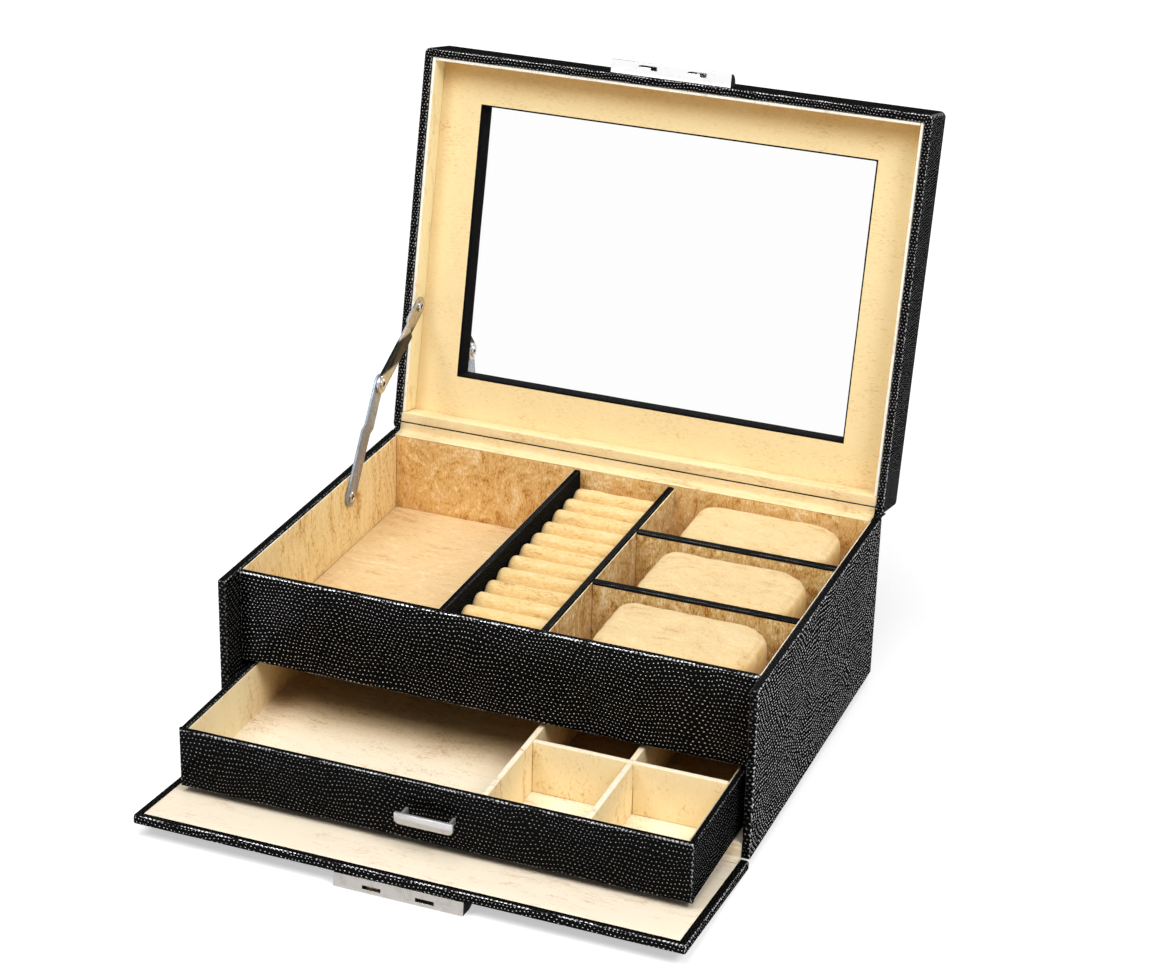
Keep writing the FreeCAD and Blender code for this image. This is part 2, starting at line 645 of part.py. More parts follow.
lock_top = -s.flap_thickness
lock_bottom = lock_top - s.lock_height
slot_z = (lock_top - s.hook_rise - s.slot_height / 2, lock_top - s.hook_rise + s.slot_height / 2)
channel_floor = slot_z[0] - s.catch_gap
channel_half = s.catch_length / 2 + s.catch_travel + s.catch_gap
channel_x = (s.lock_x - channel_half, s.lock_x + channel_half)
channel_front = free_edge + s.lock_skin
channel_y = (channel_front, channel_front + s.catch_depth + 2 * s.catch_gap)
thumb_y = (channel_front + 2 * s.catch_gap, channel_front + 2 * s.catch_gap + s.thumb_depth)
thumb_x = (s.lock_x - s.thumb_length / 2, s.lock_x + s.thumb_length / 2)

flap_lock = new_body("flap_lock", FLAP)
flap_lock_outline = rectangle((free_edge, free_edge + s.flap_lock_depth), (lock_bottom, lock_top))
pad(flap_lock, "YZ", flap_lock_outline, lock_x[0], lock_x[1])
round_edges(flap_lock, s.lock_round, "bottom back")
pocket(flap_lock, "XY", rectangle(channel_x, channel_y), channel_floor, lock_top)
for middle in hook_middles:
    slot = rectangle((middle - s.slot_length / 2, middle + s.slot_length / 2), slot_z)
    pocket(flap_lock, "XZ", slot, free_edge, channel_front)
thumb_slot = rectangle(
    (thumb_x[0] - s.catch_gap, thumb_x[1] + s.catch_travel + s.catch_gap), grown(thumb_y, s.catch_gap)
)
pocket(flap_lock, "XY", thumb_slot, lock_bottom, channel_floor)

# The catch: a strip in the housing's channel, a bit behind each slot and a flush thumb piece.
lock_catch = new_body("lock_catch", FLAP)
strip_x = (s.lock_x - s.catch_length / 2, s.lock_x + s.catch_length / 2)
strip_y = (channel_y[0] + s.catch_gap, channel_y[1] - s.catch_gap)
strip_z = (channel_floor + s.catch_gap, channel_floor + s.catch_gap + s.catch_strip)
pad(lock_catch, "XY", rectangle(strip_x, strip_y), strip_z[0], strip_z[1])
for middle in hook_middles:
    bit_x = (middle - s.catch_bit / 2, middle + s.catch_bit / 2)
    bit = rectangle(bit_x, (strip_y[0], strip_y[0] + s.catch_bit))
    pad(lock_catch, "XY", bit, strip_z[1], slot_z[1] - s.catch_gap)
pad(lock_catch, "XY", rectangle(thumb_x, thumb_y), lock_bottom + s.catch_gap / 2, strip_z[0])

# ---------------------------------------------------------------- drawer

drawer_half = guide_inner - s.drawer_side_gap
drawer_depth = back_face - s.panel_setback - s.drawer_back_gap
drawer_height = s.bay_height - bay_floor - s.drawer_gap - s.drawer_top_gap
drawer_inner = drawer_half - s.drawer_wall
drawer_back = drawer_depth - s.drawer_wall
drawer_front = covered_board(
    "drawer_front", DRAWER, both_ways(drawer_half), (0, s.drawer_wall), (0, drawer_height)
)
round_edges(drawer_front, s.panel_round, "front")
round_edges(drawer_front, s.edge_round, "top back")
for side, x in (("left", (-drawer_half, -drawer_inner)), ("right", (drawer_inner, drawer_half))):
    covered_board(
        f"drawer_side_{side}", DRAWER, x, (s.drawer_wall, drawer_depth), (0, drawer_height),
        "top left", "top right", f"{side} bottom", f"{side} back",
    )
covered_board(
    "drawer_back", DRAWER, both_ways(drawer_inner), (drawer_back, drawer_depth), (0, drawer_height),
    "top front", "top back",
)
box("drawer_floor", DRAWER, both_ways(drawer_inner), (s.drawer_wall, drawer_back), (0, s.drawer_floor))

drawer_lining = new_body("drawer_lining", DRAWER)
lining_top = drawer_height - s.drawer_lip
cells_floor = s.drawer_floor + s.cloth
cells_half = drawer_inner - s.cloth
cells_y = (s.drawer_wall + s.cloth, drawer_back - s.cloth)
lining_outline = rectangle(both_ways(drawer_inner), (s.drawer_wall, drawer_back))
pad(drawer_lining, "XY", lining_outline, s.drawer_floor, lining_top)
pocket(drawer_lining, "XY", rectangle(both_ways(cells_half), cells_y), cells_floor, lining_top)


def across(middle):
    return (middle - s.drawer_divider / 2, middle + s.drawer_divider / 2)


# The second and the cross divider are half lapped where they meet.
lap_height = (cells_floor + lining_top) / 2
box("drawer_divider_main", DRAWER, across(s.drawer_main_x), cells_y, (cells_floor, lining_top))
drawer_divider_second = new_body("drawer_divider_second", DRAWER)
pad(drawer_divider_second, "XY", rectangle(across(s.drawer_second_x), cells_y), cells_floor, lining_top)
upper_lap = rectangle(across(s.drawer_second_x), grown(across(s.drawer_cross_y), s.lap_gap))
pocket(drawer_divider_second, "XY", upper_lap, lap_height - s.lap_gap, lining_top)
drawer_divider_cross = new_body("drawer_divider_cross", DRAWER)
cross_x = (s.drawer_main_x + s.drawer_divider / 2, cells_half)
pad(drawer_divider_cross, "XY", rectangle(cross_x, across(s.drawer_cross_y)), cells_floor, lining_top)
lower_lap = rectangle(grown(across(s.drawer_second_x), s.lap_gap), across(s.drawer_cross_y))
pocket(drawer_divider_cross, "XY", lower_lap, cells_floor, lap_height)

# The pull: a bar with rounded lower corners on two arms set in from its ends.
handle = new_body("handle", DRAWER)
handle_z = (drawer_height / 2 - s.handle_height / 2, drawer_height / 2 + s.handle_height / 2)
bar_x = (s.handle_x - s.handle_length / 2, s.handle_x + s.handle_length / 2)
pad(handle, "XZ", rectangle(bar_x, handle_z), -s.handle_reach, s.handle_bar - s.handle_reach)
round_edges(handle, s.handle_corner, "bottom left", "bottom right")
for middle in (s.handle_x - s.handle_span / 2, s.handle_x + s.handle_span / 2):
    arm = rectangle((middle - s.handle_arm / 2, middle + s.handle_arm / 2), grown(handle_z, -s.edge_round))
    pad(handle, "XZ", arm, s.handle_bar - s.handle_reach, 0)

# ---------------------------------------------------------------- folding stay, left side

# Three layers beside the left walls: the lower link on the case's lining, its elbow end and the
# upper link's lid end stepped in to clear the lid's thicker lining, and the upper link inside them.
base_layer = -lined_half + s.stay_gap
lid_layer = -(inner_half - s.lid_lining) + s.stay_gap
inner_layer = lid_layer + s.stay_plate + s.stay_gap


def stepped_link(label, axes, reach, first, second, step):
    """A flat link from its rivet at the origin up to its elbow, stepped from one layer to another."""
    end = s.stay_width / 2
    run = s.joggle_run
    link = new_body(label, axes)
    side_view = polygon(
        (first, -end), (first + s.stay_plate, -end), (first + s.stay_plate, step),
        (second + s.stay_plate, step + run), (second + s.stay_plate, reach + end), (second, reach + end),
        (second, step + run), (first, step),
    )
    pad(link, "XZ", side_view, -end, end)
    round_edges(link, end - s.rivet_play, "bottom front", "bottom back", "top front", "top back")
    hole = s.rivet_radius + s.rivet_play
    for middle, layer in ((0, first), (reach, second)):
        pocket(link, "YZ", circle(0, middle, hole), layer - s.stay_gap, layer + s.stay_plate + s.stay_gap)
    return link


def rivet(label, axes, foot, shank_end, washer=0):
    """A domed rivet along X, with an optional washer under its head."""
    body = new_body(label, axes)
    pad(body, "YZ", circle(0, 0, s.rivet_radius), foot, shank_end)
    head = shank_end
    if washer:
        head = shank_end + s.stay_gap
        pad(body, "YZ", circle(0, 0, washer), shank_end, head)
    pad(body, "YZ", circle(0, 0, s.rivet_head), head, head + s.rivet_dome)
    round_edges(body, s.rivet_dome * 0.8, "right")
    return body


base_y = s.case_depth / 2 - s.stay_base_back
base_z = hinge_height - s.stay_base_drop
tilt = math.radians(s.lid_tilt.number)
lid_rivet_y = length(s.stay_lid_up.number * math.sin(tilt) + s.stay_lid_in.number * math.cos(tilt))
lid_rivet_z = length(s.stay_lid_up.number * math.cos(tilt) - s.stay_lid_in.number * math.sin(tilt))
UPPER_RIVET = (s.case_depth / 2 + lid_rivet_y, hinge_height + lid_rivet_z)
LOWER_LINK = frame(base_y, base_z, s.stay_lower_turn)
UPPER_LINK = frame(UPPER_RIVET[0], UPPER_RIVET[1], s.stay_upper_turn)
ELBOW = f"{UPPER_LINK} * {frame(0, s.stay_upper)}"

lower_reach = s.stay_lower
stepped_link("stay_lower", LOWER_LINK, lower_reach, base_layer, lid_layer, lower_reach - s.lower_joggle)
stepped_link("stay_upper", UPPER_LINK, s.stay_upper, lid_layer, inner_layer, s.upper_joggle)
running = s.stay_gap / 3
rivet("stay_base_rivet", frame(base_y, base_z), -lined_half, base_layer + s.stay_plate + running)
lid_foot = -(inner_half - s.lid_lining)
rivet("stay_lid_rivet", frame(UPPER_RIVET[0], UPPER_RIVET[1]), lid_foot, lid_layer + s.stay_plate + running)
rivet("stay_elbow_rivet", ELBOW, inner_layer, inner_layer + s.stay_plate, s.washer)

# ---------------------------------------------------------------- soft hinges

# The covering leather bridges the back panel and the lid's hinge wall; side view in the case's
# frame, with the lid's own directions at its open tilt.
into_lid = (math.cos(tilt), -math.sin(tilt))
off_wall = (-math.sin(tilt), -math.cos(tilt))
hinge_y = s.case_depth
hinge_z = s.case_height + rim


def beside_wall(along, off):
    return (
        hinge_y + along * into_lid[0] + off * off_wall[0],
        hinge_z + along * into_lid[1] + off * off_wall[1],
    )


corner = s.leather * (1 + math.sin(tilt)) / math.cos(tilt)
leather_foot = s.case_height - s.leather_reach
hinge_leather = new_body("hinge_leather", CASE)
leather_outline = polygon(
    (hinge_y, leather_foot), (hinge_y + s.leather, leather_foot), beside_wall(corner, s.leather),
    beside_wall(s.leather_reach, s.leather), beside_wall(s.leather_reach, 0),
    beside_wall(s.leather / math.cos(tilt), 0), (hinge_y, s.case_height - s.edge_round),
)
leather_half = half_width - s.lid_corner
pad(hinge_leather, "YZ", leather_outline, -leather_half, leather_half)

# The suede runs on from the bay's front edge to the flap's lining.
slope = math.tan(math.radians(s.flap_tilt.number))
cloth_rise = s.bottom_board - s.cloth
flap_cloth = new_body("flap_hinge_cloth", CASE)
cloth_outline = polygon(
    (0, s.soft_gap), (0, cloth_rise), (-s.flap_hinge_gap, cloth_rise - s.flap_hinge_gap),
    (-s.flap_hinge_gap, s.cloth), (-s.cloth_reach, slope * s.cloth_reach + s.soft_gap),
    (-s.cloth_reach, slope * s.cloth_reach + s.cloth_air),
    (-s.flap_hinge_gap, slope * s.flap_hinge_gap + s.cloth_air),
)
pad(flap_cloth, "YZ", cloth_outline, -lining_half, lining_half)

# ---------------------------------------------------------------- checks and export

doc.recompute()
failed = [item.Name for item in doc.Objects if "Invalid" in item.State or "Error" in item.State]
failed += [piece.Label for piece in pieces if piece.Shape.isNull() or not piece.Shape.isValid()]
if failed:
    raise RuntimeError(f"failed objects: {failed}")

os.makedirs("parts", exist_ok=True)
for piece in pieces:
    piece.Shape.exportStep(f"parts/{piece.Label}.step")
print(len(pieces), "sub-parts,", roll_count, "ring rolls,", f"flap tilt {s.flap_tilt.number:.3f}")
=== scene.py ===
import json
import math

import bmesh
import bpy
from mathutils import Matrix, Vector, noise
from mathutils.bvhtree import BVHTree


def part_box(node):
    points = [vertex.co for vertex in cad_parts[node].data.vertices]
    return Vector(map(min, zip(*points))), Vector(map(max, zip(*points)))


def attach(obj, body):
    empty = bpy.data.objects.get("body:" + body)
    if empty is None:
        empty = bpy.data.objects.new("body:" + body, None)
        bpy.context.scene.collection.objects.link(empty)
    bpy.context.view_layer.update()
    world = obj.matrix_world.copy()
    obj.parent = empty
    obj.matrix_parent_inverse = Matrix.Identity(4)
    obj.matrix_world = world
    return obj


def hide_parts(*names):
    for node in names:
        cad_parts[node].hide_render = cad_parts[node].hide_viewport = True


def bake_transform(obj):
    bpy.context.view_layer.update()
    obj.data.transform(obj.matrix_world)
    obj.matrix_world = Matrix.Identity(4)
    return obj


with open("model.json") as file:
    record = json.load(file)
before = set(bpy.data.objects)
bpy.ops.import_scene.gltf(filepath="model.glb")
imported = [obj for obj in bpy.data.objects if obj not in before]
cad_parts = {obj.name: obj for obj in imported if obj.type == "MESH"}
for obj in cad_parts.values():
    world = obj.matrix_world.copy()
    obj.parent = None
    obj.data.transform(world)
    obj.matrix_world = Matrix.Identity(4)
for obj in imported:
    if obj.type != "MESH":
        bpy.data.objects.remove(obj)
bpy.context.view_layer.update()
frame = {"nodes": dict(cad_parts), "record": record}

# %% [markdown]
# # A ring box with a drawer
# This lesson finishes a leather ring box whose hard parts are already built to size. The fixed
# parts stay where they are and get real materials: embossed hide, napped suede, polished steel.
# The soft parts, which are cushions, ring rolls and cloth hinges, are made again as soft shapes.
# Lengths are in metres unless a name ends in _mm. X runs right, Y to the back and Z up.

built = frame["nodes"]

# %% [markdown]
# ## Where the eye stands
# A small box is usually seen from a step away through a short telephoto lens, so its upright edges
# stay nearly parallel. The camera could be aimed by hand in the viewport. Here two angles and a
# slight roll are turned into its three axes, because numbers can be checked and repeated.

# %% Camera
eye = Vector((0.4732, -1.21225, 0.72893))
turned, raised, rolled = math.radians(20.976), math.radians(24.761), math.radians(1.393)
backward = Vector((math.sin(turned) * math.cos(raised), -math.cos(turned) * math.cos(raised),
                   math.sin(raised)))
level_right = Vector((math.cos(turned), math.sin(turned), 0))
level_up = backward.cross(level_right)
to_right = math.cos(rolled) * level_right + math.sin(rolled) * level_up
to_top = backward.cross(to_right)

lens = bpy.data.cameras.new("box_camera")
lens.lens, lens.sensor_width, lens.sensor_fit = 89.54, 36, "HORIZONTAL"
lens.clip_start, lens.clip_end = 0.05, 50
camera = bpy.data.objects.new("box_camera", lens)
axes = Matrix((to_right, to_top, backward)).transposed()
camera.matrix_world = Matrix.Translation(eye) @ axes.to_4x4()
bpy.context.scene.collection.objects.link(camera)
bpy.context.scene.camera = camera
print("the eye is", round(eye.length, 2), "m from the box")

# %% [markdown]
# ## Laying nodes without tangles
# A material is a small program made of nodes. Dragging them by hand is fine for one, but this box
# needs a dozen related ones, so a helper lays a node and wires it in one line. A plain number goes
# straight on to the socket, and an output of another node becomes a wire. Sums that come back in
# every material, such as noise that pushes to any side alike, get a line of their own.

# %% A bench for laying nodes
class Bench:
    def __init__(self, tree):
        self.tree = tree

    def feed(self, socket, value):
        if isinstance(value, bpy.types.NodeSocket):
            self.tree.links.new(value, socket)
        else:
            socket.default_value = value

    def lay(self, kind, wires=None, **settings):
        node = self.tree.nodes.new("ShaderNode" + kind)
        for name, value in settings.items():
            setattr(node, name, value)
        for name, value in (wires or {}).items():
            self.feed(node.inputs[name], value)
        return node

    def maths(self, operation, *values):
        node = self.lay("Math", dict(enumerate(values)), operation=operation)
        return node.outputs[0]

    def vector(self, operation, *values):
        node = self.lay("VectorMath", dict(enumerate(values)), operation=operation)
        return node.outputs["Value" if operation in ("DOT_PRODUCT", "LENGTH") else "Vector"]

    def fade(self, value, low, high, first=0.0, last=1.0):
        wires = {"Value": value, "From Min": low, "From Max": high, "To Min": first, "To Max": last}
        return self.lay("MapRange", wires, interpolation_type="SMOOTHSTEP").outputs["Result"]

    def between(self, amount, first, last):
        return self.lay("Mix", {"Factor": amount, 2: first, 3: last}).outputs[0]

    def dye(self, amount, first, last, way="MIX"):
        wires = {"Factor": amount, 6: first, 7: last}
        return self.lay("Mix", wires, data_type="RGBA", blend_type=way).outputs[2]

    def cloud(self, where, scale, detail=2.0, roughness=0.5, output="Fac"):
        wires = {"Vector": where, "Scale": scale, "Detail": detail, "Roughness": roughness}
        return self.lay("TexNoise", wires).outputs[output]

    def centred(self, value):
        return self.maths("SUBTRACT", value, 0.5)

    def sway(self, where, scale, detail=1.0):
        """Noise as a vector that pushes to any side alike."""
        colour = self.cloud(where, scale, detail, output="Color")
        return self.vector("SUBTRACT", colour, (0.5, 0.5, 0.5))

    def split(self, vector):
        return self.lay("SeparateXYZ", {0: vector}).outputs

    def place_along(self, axis):
        """The place along one axis of the box, in metres."""
        return self.split(self.lay("TexCoord").outputs["Object"])[axis]

    def group(self, name, wires=None):
        node = self.lay("Group", node_tree=bpy.data.node_groups[name])
        for label, value in (wires or {}).items():
            self.feed(node.inputs[label], value)
        return node.outputs


def new_group(name, inputs, outputs):
    tree = bpy.data.node_groups.new(name, "ShaderNodeTree")
    for label, kind, value in inputs:
        socket = tree.interface.new_socket(label, in_out="INPUT", socket_type="NodeSocket" + kind)
        socket.default_value = value
    for label, kind in outputs:
        tree.interface.new_socket(label, in_out="OUTPUT", socket_type="NodeSocket" + kind)
    given = tree.nodes.new("NodeGroupInput").outputs
    wanted = tree.nodes.new("NodeGroupOutput").inputs
    return Bench(tree), given, wanted


# %% [markdown]
# ## Where a pattern lies
# Leather and suede are cut flat and wrapped round each board, so their pattern runs flat over each
# face. An unwrapped map would carry it too, but these boards have none. This group looks at which
# way a face points on the box itself and gives the two distances along that face, in millimetres,
# so the pattern turns the corner as a wrapped hide does. It also tells how far a face looks up and
# where an edge is rounded over, because the hide's painted highlights fade on upward faces and run
# along rounded edges.

# %% Group: distances along a face
bench, _, out = new_group(
    "Along the face", [],
    [("Along", "Vector"), ("Point", "Vector"), ("Faces up", "Float"), ("Rounded", "Float")])
mm_per_m = 1000
place = bench.lay("TexCoord").outputs
point = bench.vector("MULTIPLY", place["Object"], (mm_per_m, mm_per_m, mm_per_m))
facing = bench.split(bench.vector("ABSOLUTE", place["Normal"]))
spot = bench.split(point)
not_side = bench.maths("MAXIMUM", facing["Y"], facing["Z"])
squarest = bench.maths("MAXIMUM", facing["X"], not_side)
bench.feed(out["Rounded"], bench.fade(squarest, 0.80, 0.93, 1.0, 0.0))
is_side = bench.maths("GREATER_THAN", facing["X"], not_side)
not_flat = bench.maths("MAXIMUM", facing["X"], facing["Y"])
is_flat = bench.maths("GREATER_THAN", facing["Z"], not_flat)
across = bench.between(is_side, spot["X"], spot["Y"])
upward = bench.between(is_flat, spot["Z"], spot["Y"])
bench.feed(out["Along"], bench.lay("CombineXYZ", {"X": across, "Y": upward}).outputs[0])
bench.feed(out["Point"], point)
bench.feed(out["Faces up"], bench.split(place["Normal"])["Z"])
print("along the face puts out", [socket.name for socket in out if socket.name])

# %% [markdown]
# ## Embossed hide
# The covering is split leather pressed with a plate of small scales. The scales stand in rows, each
# row shifted by half a scale, and the rows wander like ripples in sand. A picture of leather could
# be laid on, but it would repeat and blur. This group builds the scales from arithmetic: it bends
# the flat distances with slow noise, counts rows and scales, and domes each one. Each dome carries
# a painted highlight, a pale spot a little to one side of its middle where a lamp would glint. The
# painted highlight is almost gone where a face looks up, and along a rounded edge the whole dome
# gets a painted highlight, in broken lengths.

# %% Group: scaly hide
bench, given, out = new_group(
    "Scaly hide",
    [("Scale length", "Float", 2.1), ("Row height", "Float", 2.1), ("Wander", "Float", 12.0),
     ("Spot size", "Float", 0.22)],
    [("Height", "Float"), ("Scales", "Float"), ("Painted highlights", "Float"), ("Patches", "Float")])
cut = bench.group("Along the face")
slow_ripples, quick_ripples, quick_push = 0.024, 0.16, (1.6, 1.6, 0)
slow = bench.sway(cut["Along"], slow_ripples)
shift = bench.lay("VectorMath", {0: slow, "Scale": given["Wander"]}, operation="SCALE").outputs[0]
quick = bench.sway(cut["Along"], quick_ripples)
shift = bench.vector("ADD", shift, bench.vector("MULTIPLY", quick, quick_push))
bent = bench.split(bench.vector("ADD", cut["Along"], shift))
row = bench.maths("DIVIDE", bent["Y"], given["Row height"])
row_number = bench.maths("FLOOR", row)
half_step = bench.maths("MULTIPLY", bench.maths("FLOORED_MODULO", row_number, 2.0), 0.5)
along_row = bench.maths("ADD", bench.maths("DIVIDE", bent["X"], given["Scale length"]), half_step)
scale_number = {"X": bench.maths("FLOOR", along_row), "Y": row_number}
one_scale = bench.lay("CombineXYZ", scale_number).outputs[0]
luck = bench.lay("TexWhiteNoise", {"Vector": one_scale}, noise_dimensions="2D").outputs
from_middle = {"X": bench.centred(bench.maths("FRACT", along_row)),
               "Y": bench.centred(bench.maths("FRACT", row))}
middle = bench.lay("CombineXYZ", from_middle).outputs[0]
least_radius, more_radius = 0.44, 0.10
full = bench.maths("MULTIPLY_ADD", luck["Value"], more_radius, least_radius)
dome = bench.maths("POWER", bench.maths("DIVIDE", bench.vector("LENGTH", middle), full), 2.0)
dome = bench.maths("MAXIMUM", bench.maths("SUBTRACT", 1.0, dome), 0.0)
pores = bench.cloud(cut["Point"], 3.2, 3.0, 0.6)
bench.feed(out["Height"], bench.maths("MULTIPLY_ADD", pores, 0.15, dome))
bench.feed(out["Scales"], bench.fade(dome, 0.05, 0.75))
# Painted highlight: a pale spot on each dome, a little to one side of its middle.
spot_stray, spot_offset, spot_flatness = (0.22, 0.22, 0), (0.06, 0.12, 0), (1.0, 1.45, 0)
off = bench.vector("SUBTRACT", luck["Color"], (0.5, 0.5, 0.5))
off = bench.vector("ADD", bench.vector("MULTIPLY", off, spot_stray), spot_offset)
top = bench.vector("MULTIPLY", bench.vector("SUBTRACT", middle, off), spot_flatness)
painted_highlight = bench.maths("DIVIDE", bench.vector("LENGTH", top), given["Spot size"])
painted_highlight = bench.fade(painted_highlight, 0.5, 1.0, 1.0, 0.0)
painted_highlight = bench.maths("MULTIPLY", painted_highlight, bench.fade(luck["Value"], 0.0, 0.6, 0.35, 1.0))
painted_highlight = bench.maths("MULTIPLY", painted_highlight, bench.fade(cut["Faces up"], 0.75, 0.98, 1.0, 0.06))
# Painted highlight along rounded edges, in broken lengths.
broken = bench.fade(bench.cloud(cut["Point"], 0.9, 2.0, 0.6), 0.42, 0.60, 0.25, 0.8)
painted_edge_line = bench.maths("MULTIPLY", cut["Rounded"], broken)
painted_edge_line = bench.maths("MULTIPLY", painted_edge_line, bench.fade(dome, 0.2, 0.8))
bench.feed(out["Painted highlights"], bench.maths("MAXIMUM", painted_highlight, painted_edge_line))
bench.feed(out["Patches"], bench.cloud(cut["Point"], 0.035, 3.0))
print("scaly hide puts out", [socket.name for socket in out if socket.name])

# %% [markdown]
# ## Napped suede
# The lining is a crushed microfibre suede. Its short pile lies over in different directions, so one
# cloth looks darker or paler by patches, with soft streaks where it was stroked and fine creases
# where it was pulled over card. Each crease sinks a little and carries a line of painted shade.
# Faces that look toward a given lit side, such as tops and rolled top edges, take a paler tone,
# which is painted light. Noise that is itself pushed about by slower noise gives streaks that never
# repeat. In some patches the noise is turned first, so the strokes swirl there, and only strongly
# streaked cloth shows creases.

# %% Group: napped suede
bench, given, out = new_group(
    "Napped suede",
    [("Tone", "Color", (0.8, 0.5, 0.22, 1)), ("Painted light tone", "Color", (0.9, 0.68, 0.38, 1)),
     ("Painted light side", "Vector", (0, 0, 1)), ("Stroke", "Vector", (1, 1, 0.12)),
     ("Swirl", "Float", 0.1), ("Streaks", "Float", 1.0), ("Grain", "Float", 1.0)],
    [("Colour", "Color"), ("Height", "Float")])
cut = bench.group("Along the face")
place = bench.lay("TexCoord").outputs
# Painted light: faces that look toward the lit side take the paler tone.
painted_light = bench.fade(bench.vector("DOT_PRODUCT", place["Normal"], given["Painted light side"]), 0.6, 0.9)
tone = bench.dye(painted_light, given["Tone"], given["Painted light tone"])
push_mm = 22
slow = bench.vector("MULTIPLY", bench.sway(cut["Point"], 0.03, 2.0), (push_mm, push_mm, push_mm))
pushed = bench.vector("ADD", cut["Point"], slow)


def laid_over(turn, scale=0.21, detail=5.0):
    """Noise drawn out along the stroke, after the cloth is turned."""
    wires = {"Vector": pushed, "Rotation": turn}
    lies = bench.lay("VectorRotate", wires, rotation_type="EULER_XYZ").outputs[0]
    return bench.cloud(bench.vector("MULTIPLY", lies, given["Stroke"]), scale, detail, 0.66)


patch = bench.cloud(cut["Point"], 0.045, 2.0, 0.5)
first_side = bench.maths("MULTIPLY", bench.fade(patch, 0.46, 0.54), given["Swirl"])
other_patch = bench.cloud(bench.vector("ADD", cut["Point"], (70, 30, 50)), 0.05, 2.0, 0.5)
second_side = bench.maths("MULTIPLY", bench.fade(other_patch, 0.47, 0.55), given["Swirl"])
slanted = bench.between(first_side, laid_over((0, 0, 0)), laid_over((0.9, 0.7, 0.8)))
streak = bench.centred(bench.between(second_side, slanted, laid_over((-0.8, -0.6, 0.5))))
fold = bench.centred(laid_over((0.5, 0.9, -0.7), 0.17, 1.0))
fold_width, creased_from = 0.020, 1.65
crease = bench.fade(bench.maths("ABSOLUTE", fold), 0.0, fold_width, 1.0, 0.0)
where_creased = bench.fade(bench.cloud(cut["Point"], 0.04, 1.0), 0.38, 0.55)
crease = bench.maths("MULTIPLY", crease, where_creased)
pulled = bench.maths("MAXIMUM", bench.maths("SUBTRACT", given["Streaks"], creased_from), 0.0)
fine = bench.vector("POWER", given["Stroke"], (0.35, 0.35, 0.35))
fibre = bench.cloud(bench.vector("MULTIPLY", cut["Point"], fine), 1.15, 2.0, 0.7)
fibre = bench.centred(fibre)

# %% Suede: tone and height from the streaks
shade = bench.maths("MULTIPLY", streak, bench.maths("MULTIPLY", given["Streaks"], 1.5))
shade = bench.maths("MULTIPLY_ADD", bench.centred(patch), 0.40, shade)
shade = bench.maths("MULTIPLY_ADD", fibre, given["Grain"], shade)
# Painted shade: creases darken the colour here, as well as sinking in the height below.
shade = bench.maths("MULTIPLY_ADD", crease, bench.maths("MULTIPLY", pulled, -0.45), shade)
deep = bench.dye(1.0, tone, (0.60, 0.37, 0.18, 1), "MULTIPLY")
bright = bench.dye(0.7, tone, (1.0, 0.88, 0.64, 1))
dark_half = bench.dye(bench.fade(shade, -0.60, 0.0), deep, tone)
bench.feed(out["Colour"], bench.dye(bench.fade(shade, 0.0, 0.60), dark_half, bright))
height = bench.maths("MULTIPLY", streak, 0.6)
height = bench.maths("ADD", height, bench.maths("MULTIPLY", fibre, 0.12))
sunk = bench.maths("MULTIPLY", crease, bench.maths("MULTIPLY", pulled, 0.6))
bench.feed(out["Height"], bench.maths("SUBTRACT", height, sunk))
print("napped suede takes", [socket.name for socket in given if socket.name])

# %% [markdown]
# ## Drawn metal
# The fittings are stamped from strip steel, polished and plated, and they keep faint drawing lines
# along their length and a cloudy touch of handling. Noise stretched a long way in one direction
# makes the lines.

# %% Group: drawn metal
bench, given, out = new_group(
    "Drawn metal",
    [("Lines", "Vector", (0.05, 2.0, 2.0)), ("Smooth", "Float", 0.1), ("Cloudy", "Float", 0.25)],
    [("Roughness", "Float"), ("Height", "Float"), ("Tarnish", "Float")])
cut = bench.group("Along the face")
line = bench.cloud(bench.vector("MULTIPLY", cut["Point"], given["Lines"]), 2.5, 3.0, 0.7)
touch = bench.cloud(cut["Point"], 0.25, 3.0, 0.6)
bench.feed(out["Height"], line)
bench.feed(out["Tarnish"], bench.fade(touch, 0.45, 0.75))
handled = bench.maths("MULTIPLY", line, touch)
bench.feed(out["Roughness"], bench.between(handled, given["Smooth"], given["Cloudy"]))
print("groups:", [group.name for group in bpy.data.node_groups])


# %% [markdown]
# ## The finishes
# Each finish is one shader with the groups feeding it. Hide is black with a dull valley, and the
# top of each scale carries a painted highlight, a pale spot in the base colour, with a coat layer
# over it.
# The hide of the side panels runs on round to their inner faces, where the painted highlights fade.

# %% Hide
def new_material(name, **plain):
    material = bpy.data.materials.new(name)
    material.use_nodes = True
    tree = material.node_tree
    shader = tree.nodes["Principled BSDF"]
    for label, value in plain.items():
        shader.inputs[label.replace("_", " ")].default_value = value
    return material, Bench(tree), shader.inputs


def relief(bench, shader, height, depth):
    wires = {"Height": height, "Distance": depth, "Strength": 1.0}
    bench.feed(shader["Normal"], bench.lay("Bump", wires).outputs["Normal"])


